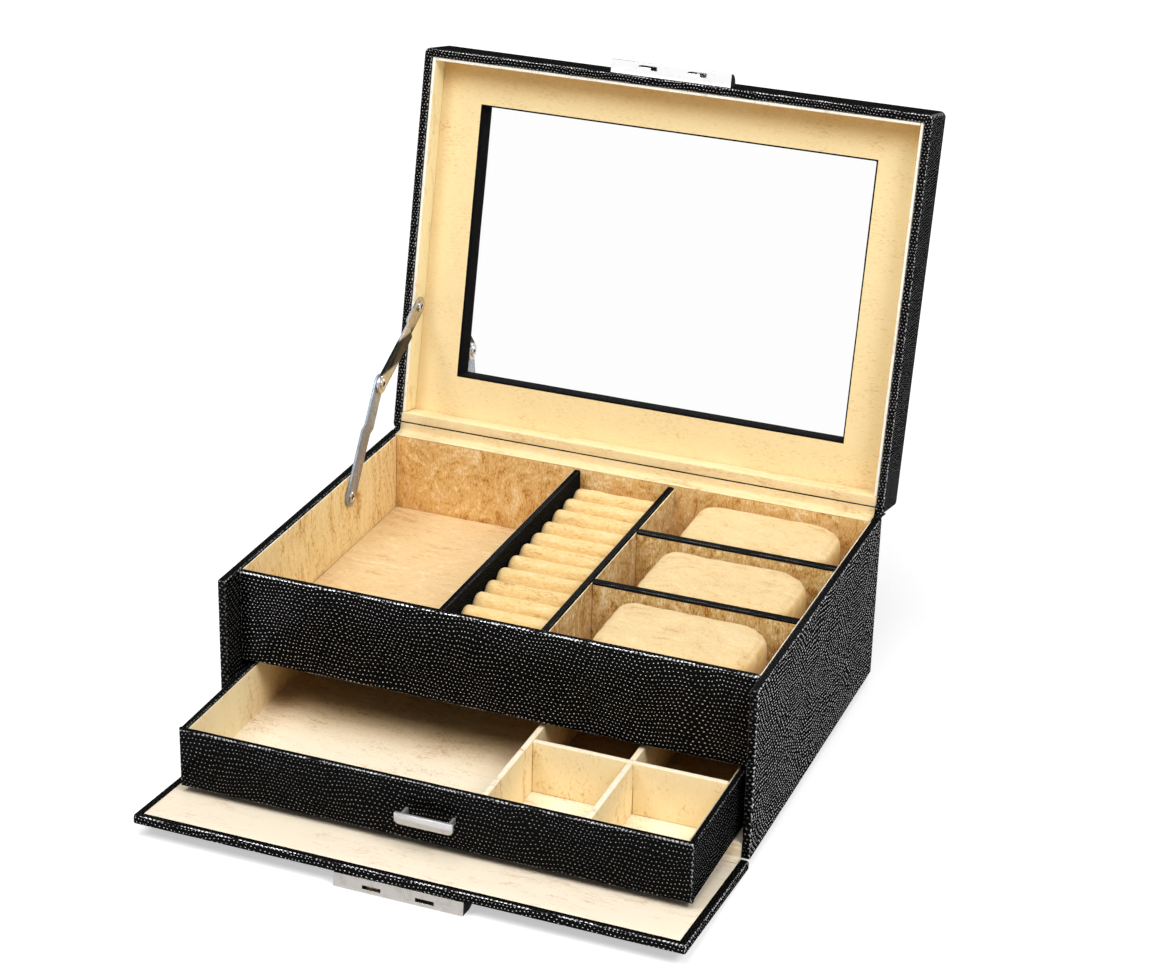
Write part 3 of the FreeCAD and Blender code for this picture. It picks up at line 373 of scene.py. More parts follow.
def hide(name, length_mm, row_mm, wander, depth, painted_highlight, spot, highlight_paint_from=None):
    material, bench, shader = new_material(
        name, Specular_IOR_Level=0.0, Coat_Roughness=0.18, Coat_IOR=4.0)
    scaly = bench.group("Scaly hide", {
        "Scale length": length_mm, "Row height": row_mm, "Wander": wander, "Spot size": spot})
    deep_black, soft_black = (0.0022, 0.0022, 0.0022, 1), (0.0050, 0.0049, 0.0047, 1)
    black = bench.dye(scaly["Patches"], deep_black, soft_black)
    worn = bench.dye(scaly["Scales"], black, (0.0060, 0.0060, 0.0058, 1))
    highlight_paint_and_coat = bench.maths("MULTIPLY", scaly["Painted highlights"], painted_highlight)
    if highlight_paint_from:
        across = bench.maths("ABSOLUTE", bench.place_along("X"))
        outside = bench.fade(across, highlight_paint_from - 0.0015, highlight_paint_from, 0.2, 1.0)
        highlight_paint_and_coat = bench.maths("MULTIPLY", highlight_paint_and_coat, outside)
    # Painted highlight: the scale tops turn pale grey in the base colour; the coat adds real gloss.
    bench.feed(shader["Base Color"], bench.dye(highlight_paint_and_coat, worn, (0.88, 0.88, 0.89, 1)))
    bench.feed(shader["Roughness"], bench.between(scaly["Scales"], 0.62, 0.40))
    bench.feed(shader["Coat Weight"], bench.between(highlight_paint_and_coat, 0.006, 0.9))
    relief(bench, shader, scaly["Height"], depth)
    return material


outer_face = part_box("side_panel_right")[1].x
front_hide = hide("front_hide", 2.15, 2.10, 13.0, 0.00036, 1.0, 0.165)
drawer_hide = hide("drawer_hide", 2.05, 2.00, 13.0, 0.00036, 0.5, 0.16)
side_hide = hide("side_hide", 2.60, 2.10, 14.0, 0.00036, 1.0, 0.27, highlight_paint_from=outer_face)
lid_hide = hide("lid_hide", 1.80, 1.60, 9.0, 0.00030, 0.7, 0.18)
trim_hide = hide("trim_hide", 1.35, 1.20, 5.0, 0.00018, 0.08, 0.24)
print("hide:", [m.name for m in bpy.data.materials if m.name.endswith("_hide")])

# %% [markdown]
# Suede scatters light from the tips of its pile, which the sheen of the shader does. Each place in
# the box gets its own tones of the one cloth, partly for its nap and partly lighter or darker with
# the light it gets, which is painted light and shade, so one function makes them from two tones.
# Under the lid's front edge and at the back of the drawer a painted shadow gives a deeper colour:
# an argument of suede gives the axis of this painted shadow, where the deeper colour starts, where
# it is full, and its tone.

# %% Suede
nap_depth = 0.00022


def suede(name, tone, painted_light, stroke, swirl, streaks, grain, pale_side=(0, 0, 1), painted_shadow=None):
    material, bench, shader = new_material(
        name, Roughness=0.92, Specular_IOR_Level=0.15, Sheen_Weight=0.2, Sheen_Roughness=0.45,
        Sheen_Tint=(1.0, 0.9, 0.72, 1))
    light, lit_face_paint = (*tone, 1), (*painted_light, 1)
    if painted_shadow:
        axis, start, end, shadow_tone = painted_shadow
        # Painted shadow: the tone deepens along the given axis.
        in_shadow_paint = bench.fade(bench.place_along(axis), start, end)
        light, lit_face_paint = bench.dye(in_shadow_paint, light, (*shadow_tone, 1)), bench.dye(in_shadow_paint, lit_face_paint, (*shadow_tone, 1))
    napped = bench.group("Napped suede", {
        "Tone": light, "Painted light tone": lit_face_paint, "Painted light side": pale_side, "Stroke": stroke,
        "Swirl": swirl, "Streaks": streaks, "Grain": grain})
    bench.feed(shader["Base Color"], napped["Colour"])
    relief(bench, shader, napped["Height"], nap_depth)
    return material


# %% Suede tones by place, with painted light and shade
lid_leans = math.radians(12)
lid_front = (0, -math.cos(lid_leans), math.sin(lid_leans))
upright, sideways, anyhow = (1, 1, 0.035), (0.06, 1, 1), (1, 1, 0.07)
lid_top, drawer_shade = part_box("mirror_panel")[1].z, (-0.110, -0.045)
# Painted light and shade: one suede, whose tones differ by place partly for nap, partly for the
# light each place gets.
floor_suede = suede("floor_suede", (0.70, 0.49, 0.245), (0.75, 0.545, 0.29), sideways,
                    swirl=0.6, streaks=1.0, grain=0.9)
back_suede = suede("back_suede", (0.77, 0.49, 0.18), (0.84, 0.60, 0.28), anyhow,
                   swirl=1.0, streaks=1.7, grain=1.8)
side_suede = suede("side_suede", (0.88, 0.69, 0.335), (0.99, 0.96, 0.86), upright,
                   swirl=0.12, streaks=1.6, grain=2.0)
wall_suede = suede("wall_suede", (0.66, 0.44, 0.16), (0.95, 0.86, 0.62), anyhow,
                   swirl=0.9, streaks=1.9, grain=2.2)
lid_suede = suede("lid_suede", (0.95, 0.83, 0.50), (0.99, 0.96, 0.86), upright,
                  swirl=0.1, streaks=0.8, grain=0.8, pale_side=lid_front)
mirror_suede = suede("mirror_suede", (0.80, 0.55, 0.25), (0.91, 0.72, 0.395), sideways,
                     swirl=0.6, streaks=0.3, grain=0.9, pale_side=lid_front,
                     painted_shadow=("Z", lid_top - 0.022, lid_top - 0.002, (0.84, 0.55, 0.23)))
hinge_suede = suede("hinge_suede", (0.86, 0.66, 0.36), (0.88, 0.70, 0.40), sideways,
                    swirl=0.02, streaks=0.9, grain=0.9)
roll_suede = suede("roll_suede", (0.79, 0.54, 0.22), (0.83, 0.61, 0.28), sideways,
                   swirl=0.3, streaks=0.9, grain=1.2)
cushion_suede = suede("cushion_suede", (0.76, 0.54, 0.25), (0.78, 0.58, 0.30), (0.25, 1, 0.5),
                      swirl=1.6, streaks=0.8, grain=0.9)
drawer_suede = suede("drawer_suede", (0.96, 0.81, 0.50), (0.98, 0.86, 0.66), (0.25, 1, 0.05),
                     swirl=0.4, streaks=1.0, grain=1.2,
                     painted_shadow=("Y", *drawer_shade, (0.78, 0.47, 0.17)))
flap_suede = suede("flap_suede", (0.92, 0.76, 0.54), (0.96, 0.84, 0.66), sideways,
                   swirl=0.3, streaks=0.8, grain=0.7)
print(sum("suede" in m.name for m in bpy.data.materials), "cuttings of suede")

# %% [markdown]
# Plated steel and brass are metals, whose colour is the colour of their reflection. The mirror is
# the same idea with no roughness to speak of. The steel fittings are one plated steel, but each
# gets its own darker colour for the dark things it reflects, which is painted reflection. The
# middle of the stay's upper link carries a painted dark reflection, a black band that is no longer
# a metal to the eye. Felt and black card are only dull, and the card has next to no shine, so its
# thin edge stays black against the mirror.

# %% Metal
def metal(name, colour, worn, lines, smooth, cloudy, depth, bare=1.0, painted_dark_band=None):
    shine = 0.05 if painted_dark_band else 0.5
    material, bench, shader = new_material(name, Metallic=bare, Specular_IOR_Level=shine)
    drawn = bench.group("Drawn metal", {"Lines": lines, "Smooth": smooth, "Cloudy": cloudy})
    shown = bench.dye(drawn["Tarnish"], (*colour, 1), (*worn, 1))
    # Painted dark reflection: a black band across the middle of the link.
    if painted_dark_band:
        low, high = painted_dark_band
        at, soft = bench.place_along("Z"), 0.002
        above, below = bench.fade(at, low, low + soft), bench.fade(at, high - soft, high, 1.0, 0.0)
        dark = bench.maths("MULTIPLY", above, below)
        shown = bench.dye(dark, shown, (0.006, 0.006, 0.007, 1))
        bench.feed(shader["Metallic"], bench.between(dark, bare, 0.0))
    bench.feed(shader["Base Color"], shown)
    bench.feed(shader["Roughness"], drawn["Roughness"])
    relief(bench, shader, drawn["Height"], depth)
    return material


# Painted reflection: each copy of the plated steel is darkened for the dark things it reflects.
along_x, along_z = (0.05, 2.0, 2.0), (2.0, 2.0, 0.05)
steel = metal("plated_steel", (0.97, 0.97, 0.97), (0.90, 0.90, 0.90), along_x,
              smooth=0.06, cloudy=0.30, depth=0.00001)
pull_steel = metal("pull_steel", (0.58, 0.575, 0.57), (0.46, 0.455, 0.45), along_x,
                   smooth=0.16, cloudy=0.45, depth=0.00001, bare=0.6)
bright_steel = metal("bright_steel", (0.60, 0.59, 0.58), (0.42, 0.41, 0.40), (0.3, 1, 1),
                     smooth=0.10, cloudy=0.30, depth=0.00001)
lower_steel = metal("lower_steel", (0.31, 0.36, 0.44), (0.22, 0.25, 0.31), along_z,
                    smooth=0.22, cloudy=0.45, depth=0.00002, bare=0.4)
low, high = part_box("stay_upper")
reach = high.z - low.z
upper_steel = metal("upper_steel", (0.52, 0.52, 0.55), (0.36, 0.36, 0.38), along_z,
                    smooth=0.16, cloudy=0.40, depth=0.00002,
                    painted_dark_band=(low.z + reach * 0.25, low.z + reach * 0.64))
lock_steel = metal("lock_steel", (0.40, 0.375, 0.355), (0.33, 0.31, 0.29), along_x,
                   smooth=0.20, cloudy=0.45, depth=0.00002)
brass = metal("catch_brass", (0.035, 0.028, 0.020), (0.60, 0.44, 0.20), along_x,
              smooth=0.2, cloudy=0.5, depth=0.00001)

# %% Mirror, felt and card
mirror_glass, bench, shader = new_material(
    "mirror_glass", Metallic=1.0, Base_Color=(0.98, 0.985, 0.98, 1))
breath = bench.cloud(bench.group("Along the face")["Point"], 0.03, 4.0, 0.6)
bench.feed(shader["Roughness"], bench.fade(breath, 0.45, 0.8, 0.0, 0.03))


def dull(name, dark, light, scale, depth, shine=0.2):
    material, bench, shader = new_material(name, Specular_IOR_Level=shine, Roughness=0.9)
    fuzz = bench.cloud(bench.group("Along the face")["Point"], scale, 4.0, 0.7)
    thin = bench.fade(fuzz, 0.3, 0.7)
    bench.feed(shader["Base Color"], bench.dye(thin, (*dark, 1), (*light, 1)))
    relief(bench, shader, fuzz, depth)
    return material


felt = dull("black_felt", (0.006, 0.006, 0.006), (0.022, 0.021, 0.020), 2.4, 0.0003)
card = dull("black_card", (0.002, 0.002, 0.002), (0.010, 0.009, 0.010), 1.6, 0.00008, shine=0.02)
# Painted shade: a dull black for hollows, slot insides and shaded edges of the fittings.
painted_black = dull("painted_shade_black", (0.004, 0.004, 0.004), (0.012, 0.011, 0.010), 1.0, 0.00004)
print(len(bpy.data.materials), "finishes in all")

# %% [markdown]
# ## Dressing the built pieces
# The hard pieces keep their built shape and only change their finish. Most follow from what they
# are: the covered boards are hide, the linings suede. The exceptions are named one by one.

# %% Finishes on the built pieces
by_slot = {"leather_black": side_hide, "suede_cream": wall_suede, "polished_steel": steel,
           "brass": brass, "felt_black": felt, "card_black": card, "mirror_glass": mirror_glass}
own_finish = {
    trim_hide: ["ring_divider", "centre_divider", "cross_binding_front", "cross_binding_rear"],
    front_hide: ["front_panel", "flap_board"],
    drawer_hide: ["drawer_front", "drawer_side_left", "drawer_side_right", "drawer_back"],
    lid_hide: ["lid_frame", "lid_panel"],
}
chosen = {name: finish for finish, names in own_finish.items() for name in names}
for name, piece in built.items():
    for slot in piece.material_slots:
        slot.material = chosen.get(name) or by_slot[slot.material.name.split(".")[0]]
print(len(chosen), "pieces have their own cutting")

# %% [markdown]
# ## Suede-covered boards
# The linings are card or thin board wrapped in suede, so their edges are rolled, not sawn, and
# their faces are never quite flat. A bevel modifier could round the edges. Here one function copies
# a board's own shape, rolls its edges, cuts its faces into small cells and lets them sink a little,
# because a face needs points before it can ripple.

# %% Helpers for new pieces
bodies = frame["record"]["behaviour"]["bodies"]
body_of = {name: body for body, names in bodies.items() for name in names}


def new_piece(name, shape, finish, body=None):
    mesh = bpy.data.meshes.new(name)
    shape.to_mesh(mesh)
    shape.free()
    mesh.materials.append(finish)
    mesh.shade_smooth()
    piece = bpy.data.objects.new(name, mesh)
    bpy.context.scene.collection.objects.link(piece)
    if body:
        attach(piece, body)
    return piece


def copy_shape(name):
    """The built piece's own shape, with its flat faces made whole again."""
    shape = bmesh.new()
    shape.from_mesh(built[name].data)
    bmesh.ops.remove_doubles(shape, verts=shape.verts, dist=1e-6)
    bmesh.ops.dissolve_limit(shape, angle_limit=math.radians(0.5), verts=shape.verts,
                             edges=shape.edges)
    return shape


def roll_edges(shape, width, segments=3):
    sharp = [edge for edge in shape.edges
             if edge.is_manifold and edge.calc_face_angle() > math.radians(30)]
    bmesh.ops.bevel(shape, geom=sharp, offset=width, segments=segments, profile=0.5,
                    affect="EDGES", clamp_overlap=True)


def cut_at(shape, point, facing):
    everything = shape.verts[:] + shape.edges[:] + shape.faces[:]
    bmesh.ops.bisect_plane(shape, geom=everything, plane_co=point, plane_no=facing)


def cut_cells(shape, cell):
    for axis in range(3):
        along = [vertex.co[axis] for vertex in shape.verts]
        low, high = min(along), max(along)
        count = int((high - low) / cell)
        facing = Vector([float(axis == other) for other in range(3)])
        for step in range(1, count):
            cut_at(shape, facing * (low + (high - low) * step / count), facing)


# %% A board wrapped in suede
board_roll, card_roll, window_roll = 0.0005, 0.00036, 0.0015
ripple, cell = 0.00018, 0.006


def wrapped_roll(name):
    """How far a wrapped edge is rounded: least on thin card, most round the mirror."""
    low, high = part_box(name)
    if name == "mirror_panel":
        return window_roll
    return card_roll if min(high - low) < 0.0015 else board_roll


def suede_board(name, finish):
    shape = copy_shape(name)
    roll_edges(shape, wrapped_roll(name))
    cut_cells(shape, cell)
    shape.normal_update()
    for vertex in shape.verts:
        sink = 0.5 + 0.5 * noise.fractal(vertex.co * 45, 1.0, 2.0, 2)
        vertex.co -= vertex.normal * ripple * min(max(sink, 0), 1)
    board = new_piece(name + "_suede", shape, finish, body_of[name])
    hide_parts(name)
    return board


# %% Linings and dividers
suede_by_place = {
    floor_suede: ["tray_floor_lining"],
    back_suede: ["back_lining"],
    side_suede: ["side_lining_left", "side_lining_right"],
    wall_suede: ["front_lining", "ring_divider_facing", "centre_divider_facing",
                 "cross_divider_front", "cross_divider_rear"],
    lid_suede: ["lid_lining_left", "lid_lining_right", "lid_lining_front"],
    hinge_suede: ["lid_lining_hinge"],
    mirror_suede: ["mirror_panel"],
    drawer_suede: ["drawer_lining", "drawer_divider_main", "drawer_divider_second",
                   "drawer_divider_cross"],
    flap_suede: ["flap_lining", "bay_lining"],
}
boards = [suede_board(name, finish) for finish, names in suede_by_place.items() for name in names]
print(len(boards), "boards of", sum(len(board.data.polygons) for board in boards), "faces")

# %% [markdown]
# ## The mirror's window
# The mirror shows through a window cut in its covered card, and the edge of the window is drawn
# black. A black strip could be laid round it, but it would add a step. Instead the board is cut
# just outside the window, and the faces within the cut get the black card as a second finish.

# %% Black edge of the mirror's window
black_rim = 0.0009
window = next(board for board in boards if board.name.startswith("mirror_panel"))
window.data.materials.append(card)
low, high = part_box("mirror_panel")
middle = (low + high) / 2
shape = bmesh.new()
shape.from_mesh(window.data)
opening = []
for side in (Vector((1, 0, 0)), Vector((0, math.sin(lid_leans), math.cos(lid_leans)))):
    looks_in = [face.calc_center_median() - middle for face in shape.faces
                if abs(face.normal.dot(side)) > 0.9
                and face.normal.dot(middle - face.calc_center_median()) > 0]
    walls = [place.dot(side) for place in looks_in]
    least = max(x for x in walls if x < 0) - black_rim
    most = min(x for x in walls if x > 0) + black_rim
    cut_at(shape, middle + side * least, side)
    cut_at(shape, middle + side * most, side)
    opening.append((side, least, most))
for face in shape.faces:
    place = face.calc_center_median() - middle
    if all(least < place.dot(side) < most for side, least, most in opening):
        face.material_index = 1
shape.to_mesh(window.data)
shape.free()
print("window", [round((most - least) * 1000, 1) for _, least, most in opening], "mm")

# %% [markdown]
# ## Watch cushions
# Each cushion is a block of foam in a suede cover, and a watch strap goes round it. Its ends are
# rounded, the right one more, and the cover is sewn round the right end a little below the top. A
# rounded box would look like soap. A cloth simulation blows the cover up a little, which crowns it
# and pulls the sides in between the corners. The seam and the creases come after it. The noise that
# bends the creases would start from the clock, so it is given a seed and falls the same each time.

# %% Helpers for soft pieces
def use_modifier(piece, kind, **settings):
    bpy.context.view_layer.objects.active = piece
    modifier = piece.modifiers.new(kind.lower(), kind)
    for name, value in settings.items():
        setattr(modifier, name, value)
    bpy.ops.object.modifier_apply(modifier=modifier.name)


def puff(piece, pressure, most, frames=20):
    """Blows the cover up with cloth physics and keeps each point within most of where it was."""
    start = [vertex.co.copy() for vertex in piece.data.vertices]
    cloth = piece.modifiers.new("cover", "CLOTH")
    cloth.settings.use_pressure = True
    cloth.settings.uniform_pressure_force = pressure
    cloth.settings.effector_weights.gravity = 0
    cloth.settings.quality = 5
    for number in range(frames):
        bpy.context.scene.frame_set(number + 1)
    bpy.context.view_layer.objects.active = piece
    bpy.ops.object.modifier_apply(modifier="cover")
    bpy.context.scene.frame_set(1)
    for vertex, first in zip(piece.data.vertices, start):
        moved = vertex.co - first
        if moved.length > most:
            vertex.co = first + moved.normalized() * most


def keep_inside(piece, low, high, margin=0.0002):
    for vertex in piece.data.vertices:
        for axis in range(3):
            inner_low, inner_high = low[axis] + margin, high[axis] - margin
            vertex.co[axis] = min(max(vertex.co[axis], inner_low), inner_high)


# %% Seam, creases and swell of a cover
left_corner, right_corner = 0.0095, 0.018
seam_inside, seam_width, seam_depth = 0.0030, 0.0009, 0.0003
crease_width, crease_depth, swell_height = 0.055, 0.0004, 0.0004
noise.seed_set(1)


def inside_outline(at, low, high):
    """How far a point lies inside the cushion's rounded outline, seen from above."""
    middle = (low + high) / 2
    corner = right_corner if at.x > middle.x else left_corner
    past_x = abs(at.x - middle.x) - (high.x - low.x) / 2 + corner
    past_y = abs(at.y - middle.y) - (high.y - low.y) / 2 + corner
    return corner - math.hypot(max(past_x, 0), max(past_y, 0)) - min(max(past_x, past_y), 0)


def sewn(at, low, high, turn):
    """How far the cover stands out from its plain shape at a point."""
    centre = (low + high) / 2
    at_end = min(max((at.x - centre.x) / 0.012, 0), 1) * (at.z > centre.z)
    from_seam = inside_outline(at, low, high) - seam_inside
    seam = at_end * math.exp(-(from_seam / seam_width) ** 2)
    across = Vector((at.x * 22, at.y * 48, at.z * 30 + turn * 5.1))
    fold = noise.noise(across + noise.noise_vector(at * 30) * 0.5)
    crease = math.exp(-(fold / crease_width) ** 2)
    swell = noise.fractal(at * 60 + Vector((turn, 0, 0)), 1.0, 2.0, 3)
    return swell_height * swell - seam_depth * seam - crease_depth * crease


# %% Cushions
before_puff, squareness = (1.0, 0.985, 0.95), 0.78


def cushion(name, turn):
    low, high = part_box(name)
    centre = (low + high) / 2
    shape = copy_shape(name)
    bmesh.ops.triangulate(shape, faces=shape.faces)
    for vertex in shape.verts:
        vertex.co = centre + Vector(p * q for p, q in zip(vertex.co - centre, before_puff))
    piece = new_piece(name + "_cover", shape, cushion_suede)
    use_modifier(piece, "REMESH", mode="VOXEL", voxel_size=0.004)
    puff(piece, pressure=4.0, most=0.004)
    use_modifier(piece, "SUBSURF", levels=2)
    piece.data.shade_smooth()
    for vertex in piece.data.vertices:
        at = vertex.co.copy()
        share = (at.z - centre.z) / (high.z - centre.z)
        fuller = math.copysign(min(abs(share), 1.0) ** squareness, share)
        at.z = centre.z + (high.z - centre.z) * fuller
        outward = (at - centre).normalized()
        vertex.co = at + outward * sewn(at, low, high, turn)
    keep_inside(piece, low, high)
    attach(piece, name)
    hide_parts(name)
    return piece


cushion_names = ("cushion_front", "cushion_middle", "cushion_rear")
covers = [cushion(name, turn) for turn, name in enumerate(cushion_names)]
print("cushion points:", [len(piece.data.vertices) for piece in covers])

# %% [markdown]
# ## Ring rolls
# Rings are pushed between soft foam rolls, each wrapped in suede and set side by side on a bed. One
# corrugated sheet would do from far away, but the rolls' rounded ends show against the divider. So
# each roll is drawn as a loaf: a round-topped section that shrinks at both ends.

# %% Ring rolls
low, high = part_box("ring_rolls")
roll_count, roll_height, headroom = 12, 0.0175, 0.0004
pitch = (high.y - low.y) / roll_count
half_roll = pitch * 0.497
foot = high.z - roll_height
stations, around = 44, 22
end_round, end_taper, flat_top, uneven = 0.0030, 0.8, 0.62, 0.00045


def add_loaf(shape, middle_y, lift, turn):
    rings = []
    for i in range(stations + 1):
        share = 0.5 - 0.5 * math.cos(math.pi * i / stations)
        x = low.x + share * (high.x - low.x)
        from_end = min(x - low.x, high.x - x)
        shrink = end_round - math.sqrt(max(end_round ** 2 - max(end_round - from_end, 0) ** 2, 0))
        half = half_roll - shrink * end_taper
        ring = []
        for j in range(around):
            angle = math.pi * j / (around - 1)
            y = middle_y - half * math.cos(angle)
            crown = high.z - headroom + lift - shrink
            z = foot + (crown - foot) * math.sin(angle) ** flat_top
            at = Vector((x, y, z)) * 110 + Vector((0, 0, turn))
            z += uneven * math.sin(angle) * noise.fractal(at, 1.0, 2.0, 3)
            ring.append(shape.verts.new((x, y, min(z, high.z))))
        rings.append(ring)
    for before, after in zip(rings, rings[1:]):
        for j in range(around - 1):
            shape.faces.new((before[j], after[j], after[j + 1], before[j + 1]))
        shape.faces.new((before[around - 1], after[around - 1], after[0], before[0]))
    shape.faces.new(rings[0])
    shape.faces.new(reversed(rings[-1]))


rolls = bmesh.new()
for number in range(roll_count):
    unlike = noise.noise(Vector((number * 7.3, 1.7, 0)))
    add_loaf(rolls, low.y + (number + 0.5) * pitch, 0.0005 * unlike - 0.0003, number * 3.1)
bed_centre = ((low.x + high.x) / 2, (low.y + high.y) / 2, (low.z + foot + 0.001) / 2)
bed_size = (high.x - low.x - 0.002, high.y - low.y - 0.002, foot + 0.001 - low.z, 1)
bed = Matrix.Translation(bed_centre) @ Matrix.Diagonal(bed_size)
bmesh.ops.create_cube(rolls, size=1, matrix=bed)
bmesh.ops.recalc_face_normals(rolls, faces=rolls.faces)
ring_rolls = new_piece("ring_rolls_suede", rolls, roll_suede, "case")
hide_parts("ring_rolls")
print(roll_count, "rolls", round(pitch * 1000, 2), "mm apart")

# %% [markdown]
# ## Hinges of hide and cloth
# The lid and the flap have no metal hinge. The covering hide bridges the gap behind the lid, the
# lining bridges it inside and at the flap, and all three bend. They could be solids, but a solid
# would crack open when the lid shuts, so each is drawn as a thin sheet.

# %% A strip with a bent section
def strip(name, section, half_width, thick, finish, ripple):
    """A thin sheet whose side view follows the section's points, run from left to right."""
    shape = bmesh.new()
    steps, last = 64, len(section) - 1
    rows = []
    for i in range(steps + 1):
        x = -half_width + 2 * half_width * i / steps
        row = []
        for k, (y, z) in enumerate(section):
            wave = ripple * noise.noise(Vector((x * 40, k * 0.5, 3.3)))
            row.append(shape.verts.new((x, y, z + wave * math.sin(math.pi * k / last))))
        rows.append(row)
    for before, after in zip(rows, rows[1:]):
        for k in range(last):
            shape.faces.new((before[k], after[k], after[k + 1], before[k + 1]))
    piece = new_piece(name, shape, finish)
    use_modifier(piece, "SOLIDIFY", thickness=thick, offset=0)
    return piece


def smooth_line(points):
    """The points joined by a line whose corners are cut off three times over."""
    for _ in range(3):
        cut_points = [points[0]]
        for a, b in zip(points, points[1:]):
            cut_points += [(a[0] * 0.75 + b[0] * 0.25, a[1] * 0.75 + b[1] * 0.25),
                           (a[0] * 0.25 + b[0] * 0.75, a[1] * 0.25 + b[1] * 0.75)]
        points = cut_points + [points[-1]]
    return points


def line_length(points):
    return sum(math.dist(a, b) for a, b in zip(points, points[1:]))


# %% Hinge of hide behind the lid
low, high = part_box("hinge_leather")
wall_y, hinge_z = low.y + 0.00022, 0.0964
away = (math.cos(lid_leans), -math.sin(lid_leans))
behind = [(wall_y, low.z + 0.0001), (wall_y, low.z + 0.005), (wall_y + 0.0001, hinge_z - 0.0004),
          (wall_y + 0.004 * away[0], hinge_z - 0.0003 + 0.004 * away[1]),
          (low.y + 0.0097 * away[0], hinge_z - 0.00025 + 0.0097 * away[1])]
behind = smooth_line(behind)
past_end = 0.0024
hinge_hide = strip("hinge_hide", behind, high.x + past_end, 0.0004, trim_hide,
                   ripple=0.00004)
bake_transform(hinge_hide)
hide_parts("hinge_leather")
print("hide hinge", round(line_length(behind) * 1000, 1), "mm deep")

# %% Strip of suede inside the lid's hinge
floor_of_ledge, top_of_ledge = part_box("case_ledge_strip")
_, top_of_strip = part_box("lid_ledge_strip")
lid_up = (math.sin(lid_leans), math.cos(lid_leans))
ledge_z = top_of_ledge.z - 0.00025
hinge_y, hinge_z = top_of_ledge.y, top_of_ledge.z + 0.0004
out_y, out_z = 0.0008 * math.cos(lid_leans), -0.0008 * math.sin(lid_leans)
reach_up = (top_of_strip.z - hinge_z) / math.cos(lid_leans) - 0.0002
ledge = [(floor_of_ledge.y + 0.0002, ledge_z - 0.00035), (floor_of_ledge.y + 0.0006, ledge_z),
         (hinge_y - 0.002, ledge_z), (hinge_y + 0.0002, ledge_z + 0.0002),
         (hinge_y + out_y + 0.0008 * lid_up[0], hinge_z + out_z + 0.0008 * lid_up[1]),
         (hinge_y + out_y + reach_up * lid_up[0], hinge_z + out_z + reach_up * lid_up[1])]
ledge = smooth_line(ledge)
ledge_cloth = strip("hinge_suede", ledge, top_of_ledge.x - 0.0002, 0.0004, hinge_suede,
                    ripple=0.00006)
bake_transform(ledge_cloth)
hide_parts("case_ledge_strip", "lid_ledge_strip")
print("suede hinge", round(line_length(ledge) * 1000, 1), "mm deep")

# %% Hinge of cloth at the flap
low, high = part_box("flap_hinge_cloth")
over = [(high.y - 0.0001, high.z - 0.0001), (high.y - 0.0007, high.z - 0.0007),
        (high.y - 0.0007, low.z + 0.0040), (high.y - 0.0008, low.z + 0.0008),
        (high.y - 0.0030, low.z + 0.0007), (low.y + 0.0001, low.z + 0.0007)]
over = smooth_line(over)
flap_cloth = strip("flap_hinge_suede", over, high.x - 0.0002, 0.0003, flap_suede,
                   ripple=0.00005)
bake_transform(flap_cloth)
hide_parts("flap_hinge_cloth")
print("cloth hinge", round(line_length(over) * 1000, 1), "mm deep")

# %% [markdown]
# ## Rivets and stamped fittings
# The stay's rivets are tubular: the head is rolled over and its middle stays hollow, and the hollow
# gets painted shade, a dull black. They are turned parts, so the outline is drawn once and spun.
# The other fittings keep their built shape but get eased edges, because only a rounded edge catches
# a thin line of light. The faces inside the slots of the locks get painted shade, a dull black,
# where
# shade falls: a face is inside when most looks away from it soon meet the same piece again. Some
# edges of the locks get the same painted shade too, and are named by the way they face.

# %% Tubular rivets
sides = 40


def tubular_rivet(name, head_radius, washer_radius=None):
    low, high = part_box(name)
    centre_y, centre_z, top = (low.y + high.y) / 2, (low.z + high.z) / 2, high.x
    outline = [(low.x, 0.0014)]
    if washer_radius:
        eased = washer_radius - 0.0001
        outline += [(top - 0.0013, 0.0015), (top - 0.0013, eased), (top - 0.0012, washer_radius),
                    (top - 0.00108, washer_radius), (top - 0.001, eased)]
    else:
        outline += [(top - 0.001, 0.0015)]
    outline += [(top - 0.001, head_radius), (top - 0.0007, head_radius),
                (top - 0.0003, head_radius - 0.0003), (top - 0.00005, head_radius - 0.0009),
                (top - 0.0001, 0.0015)]
    # The faces from here on line the hollow and get painted shade, a dull black.
    hollow_from = len(outline)
    outline += [(top - 0.0003, 0.0013), (top - 0.0010, 0.0011), (top - 0.0011, 0.0)]
    shape = bmesh.new()
    rings = []
    for x, radius in outline:
        spokes = [2 * math.pi * step / sides for step in range(sides if radius else 1)]
        rings.append([shape.verts.new((x, centre_y + radius * math.cos(spoke),
                                       centre_z + radius * math.sin(spoke))) for spoke in spokes])
    for number, (before, after) in enumerate(zip(rings, rings[1:])):
        for step in range(sides):
            onward = (step + 1) % sides
            corners = [before[step], before[onward]]
            corners += [after[0]] if len(after) == 1 else [after[onward], after[step]]
            shape.faces.new(corners).material_index = int(number >= hollow_from)
    shape.faces.new(reversed(rings[0]))
    bmesh.ops.recalc_face_normals(shape, faces=shape.faces)
    rivet = new_piece(name + "_turned", shape, bright_steel, body_of[name])
    rivet.data.materials.append(painted_black)
    rivet.data.set_sharp_from_angle(angle=math.radians(35))
    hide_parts(name)


tubular_rivet("stay_base_rivet", 0.0032)
tubular_rivet("stay_lid_rivet", 0.0032)
tubular_rivet("stay_elbow_rivet", 0.0032, washer_radius=0.0050)
print("three rivets turned")


# %% Eased edges and dark insides
slot_reach, met_inside = 0.006, 5


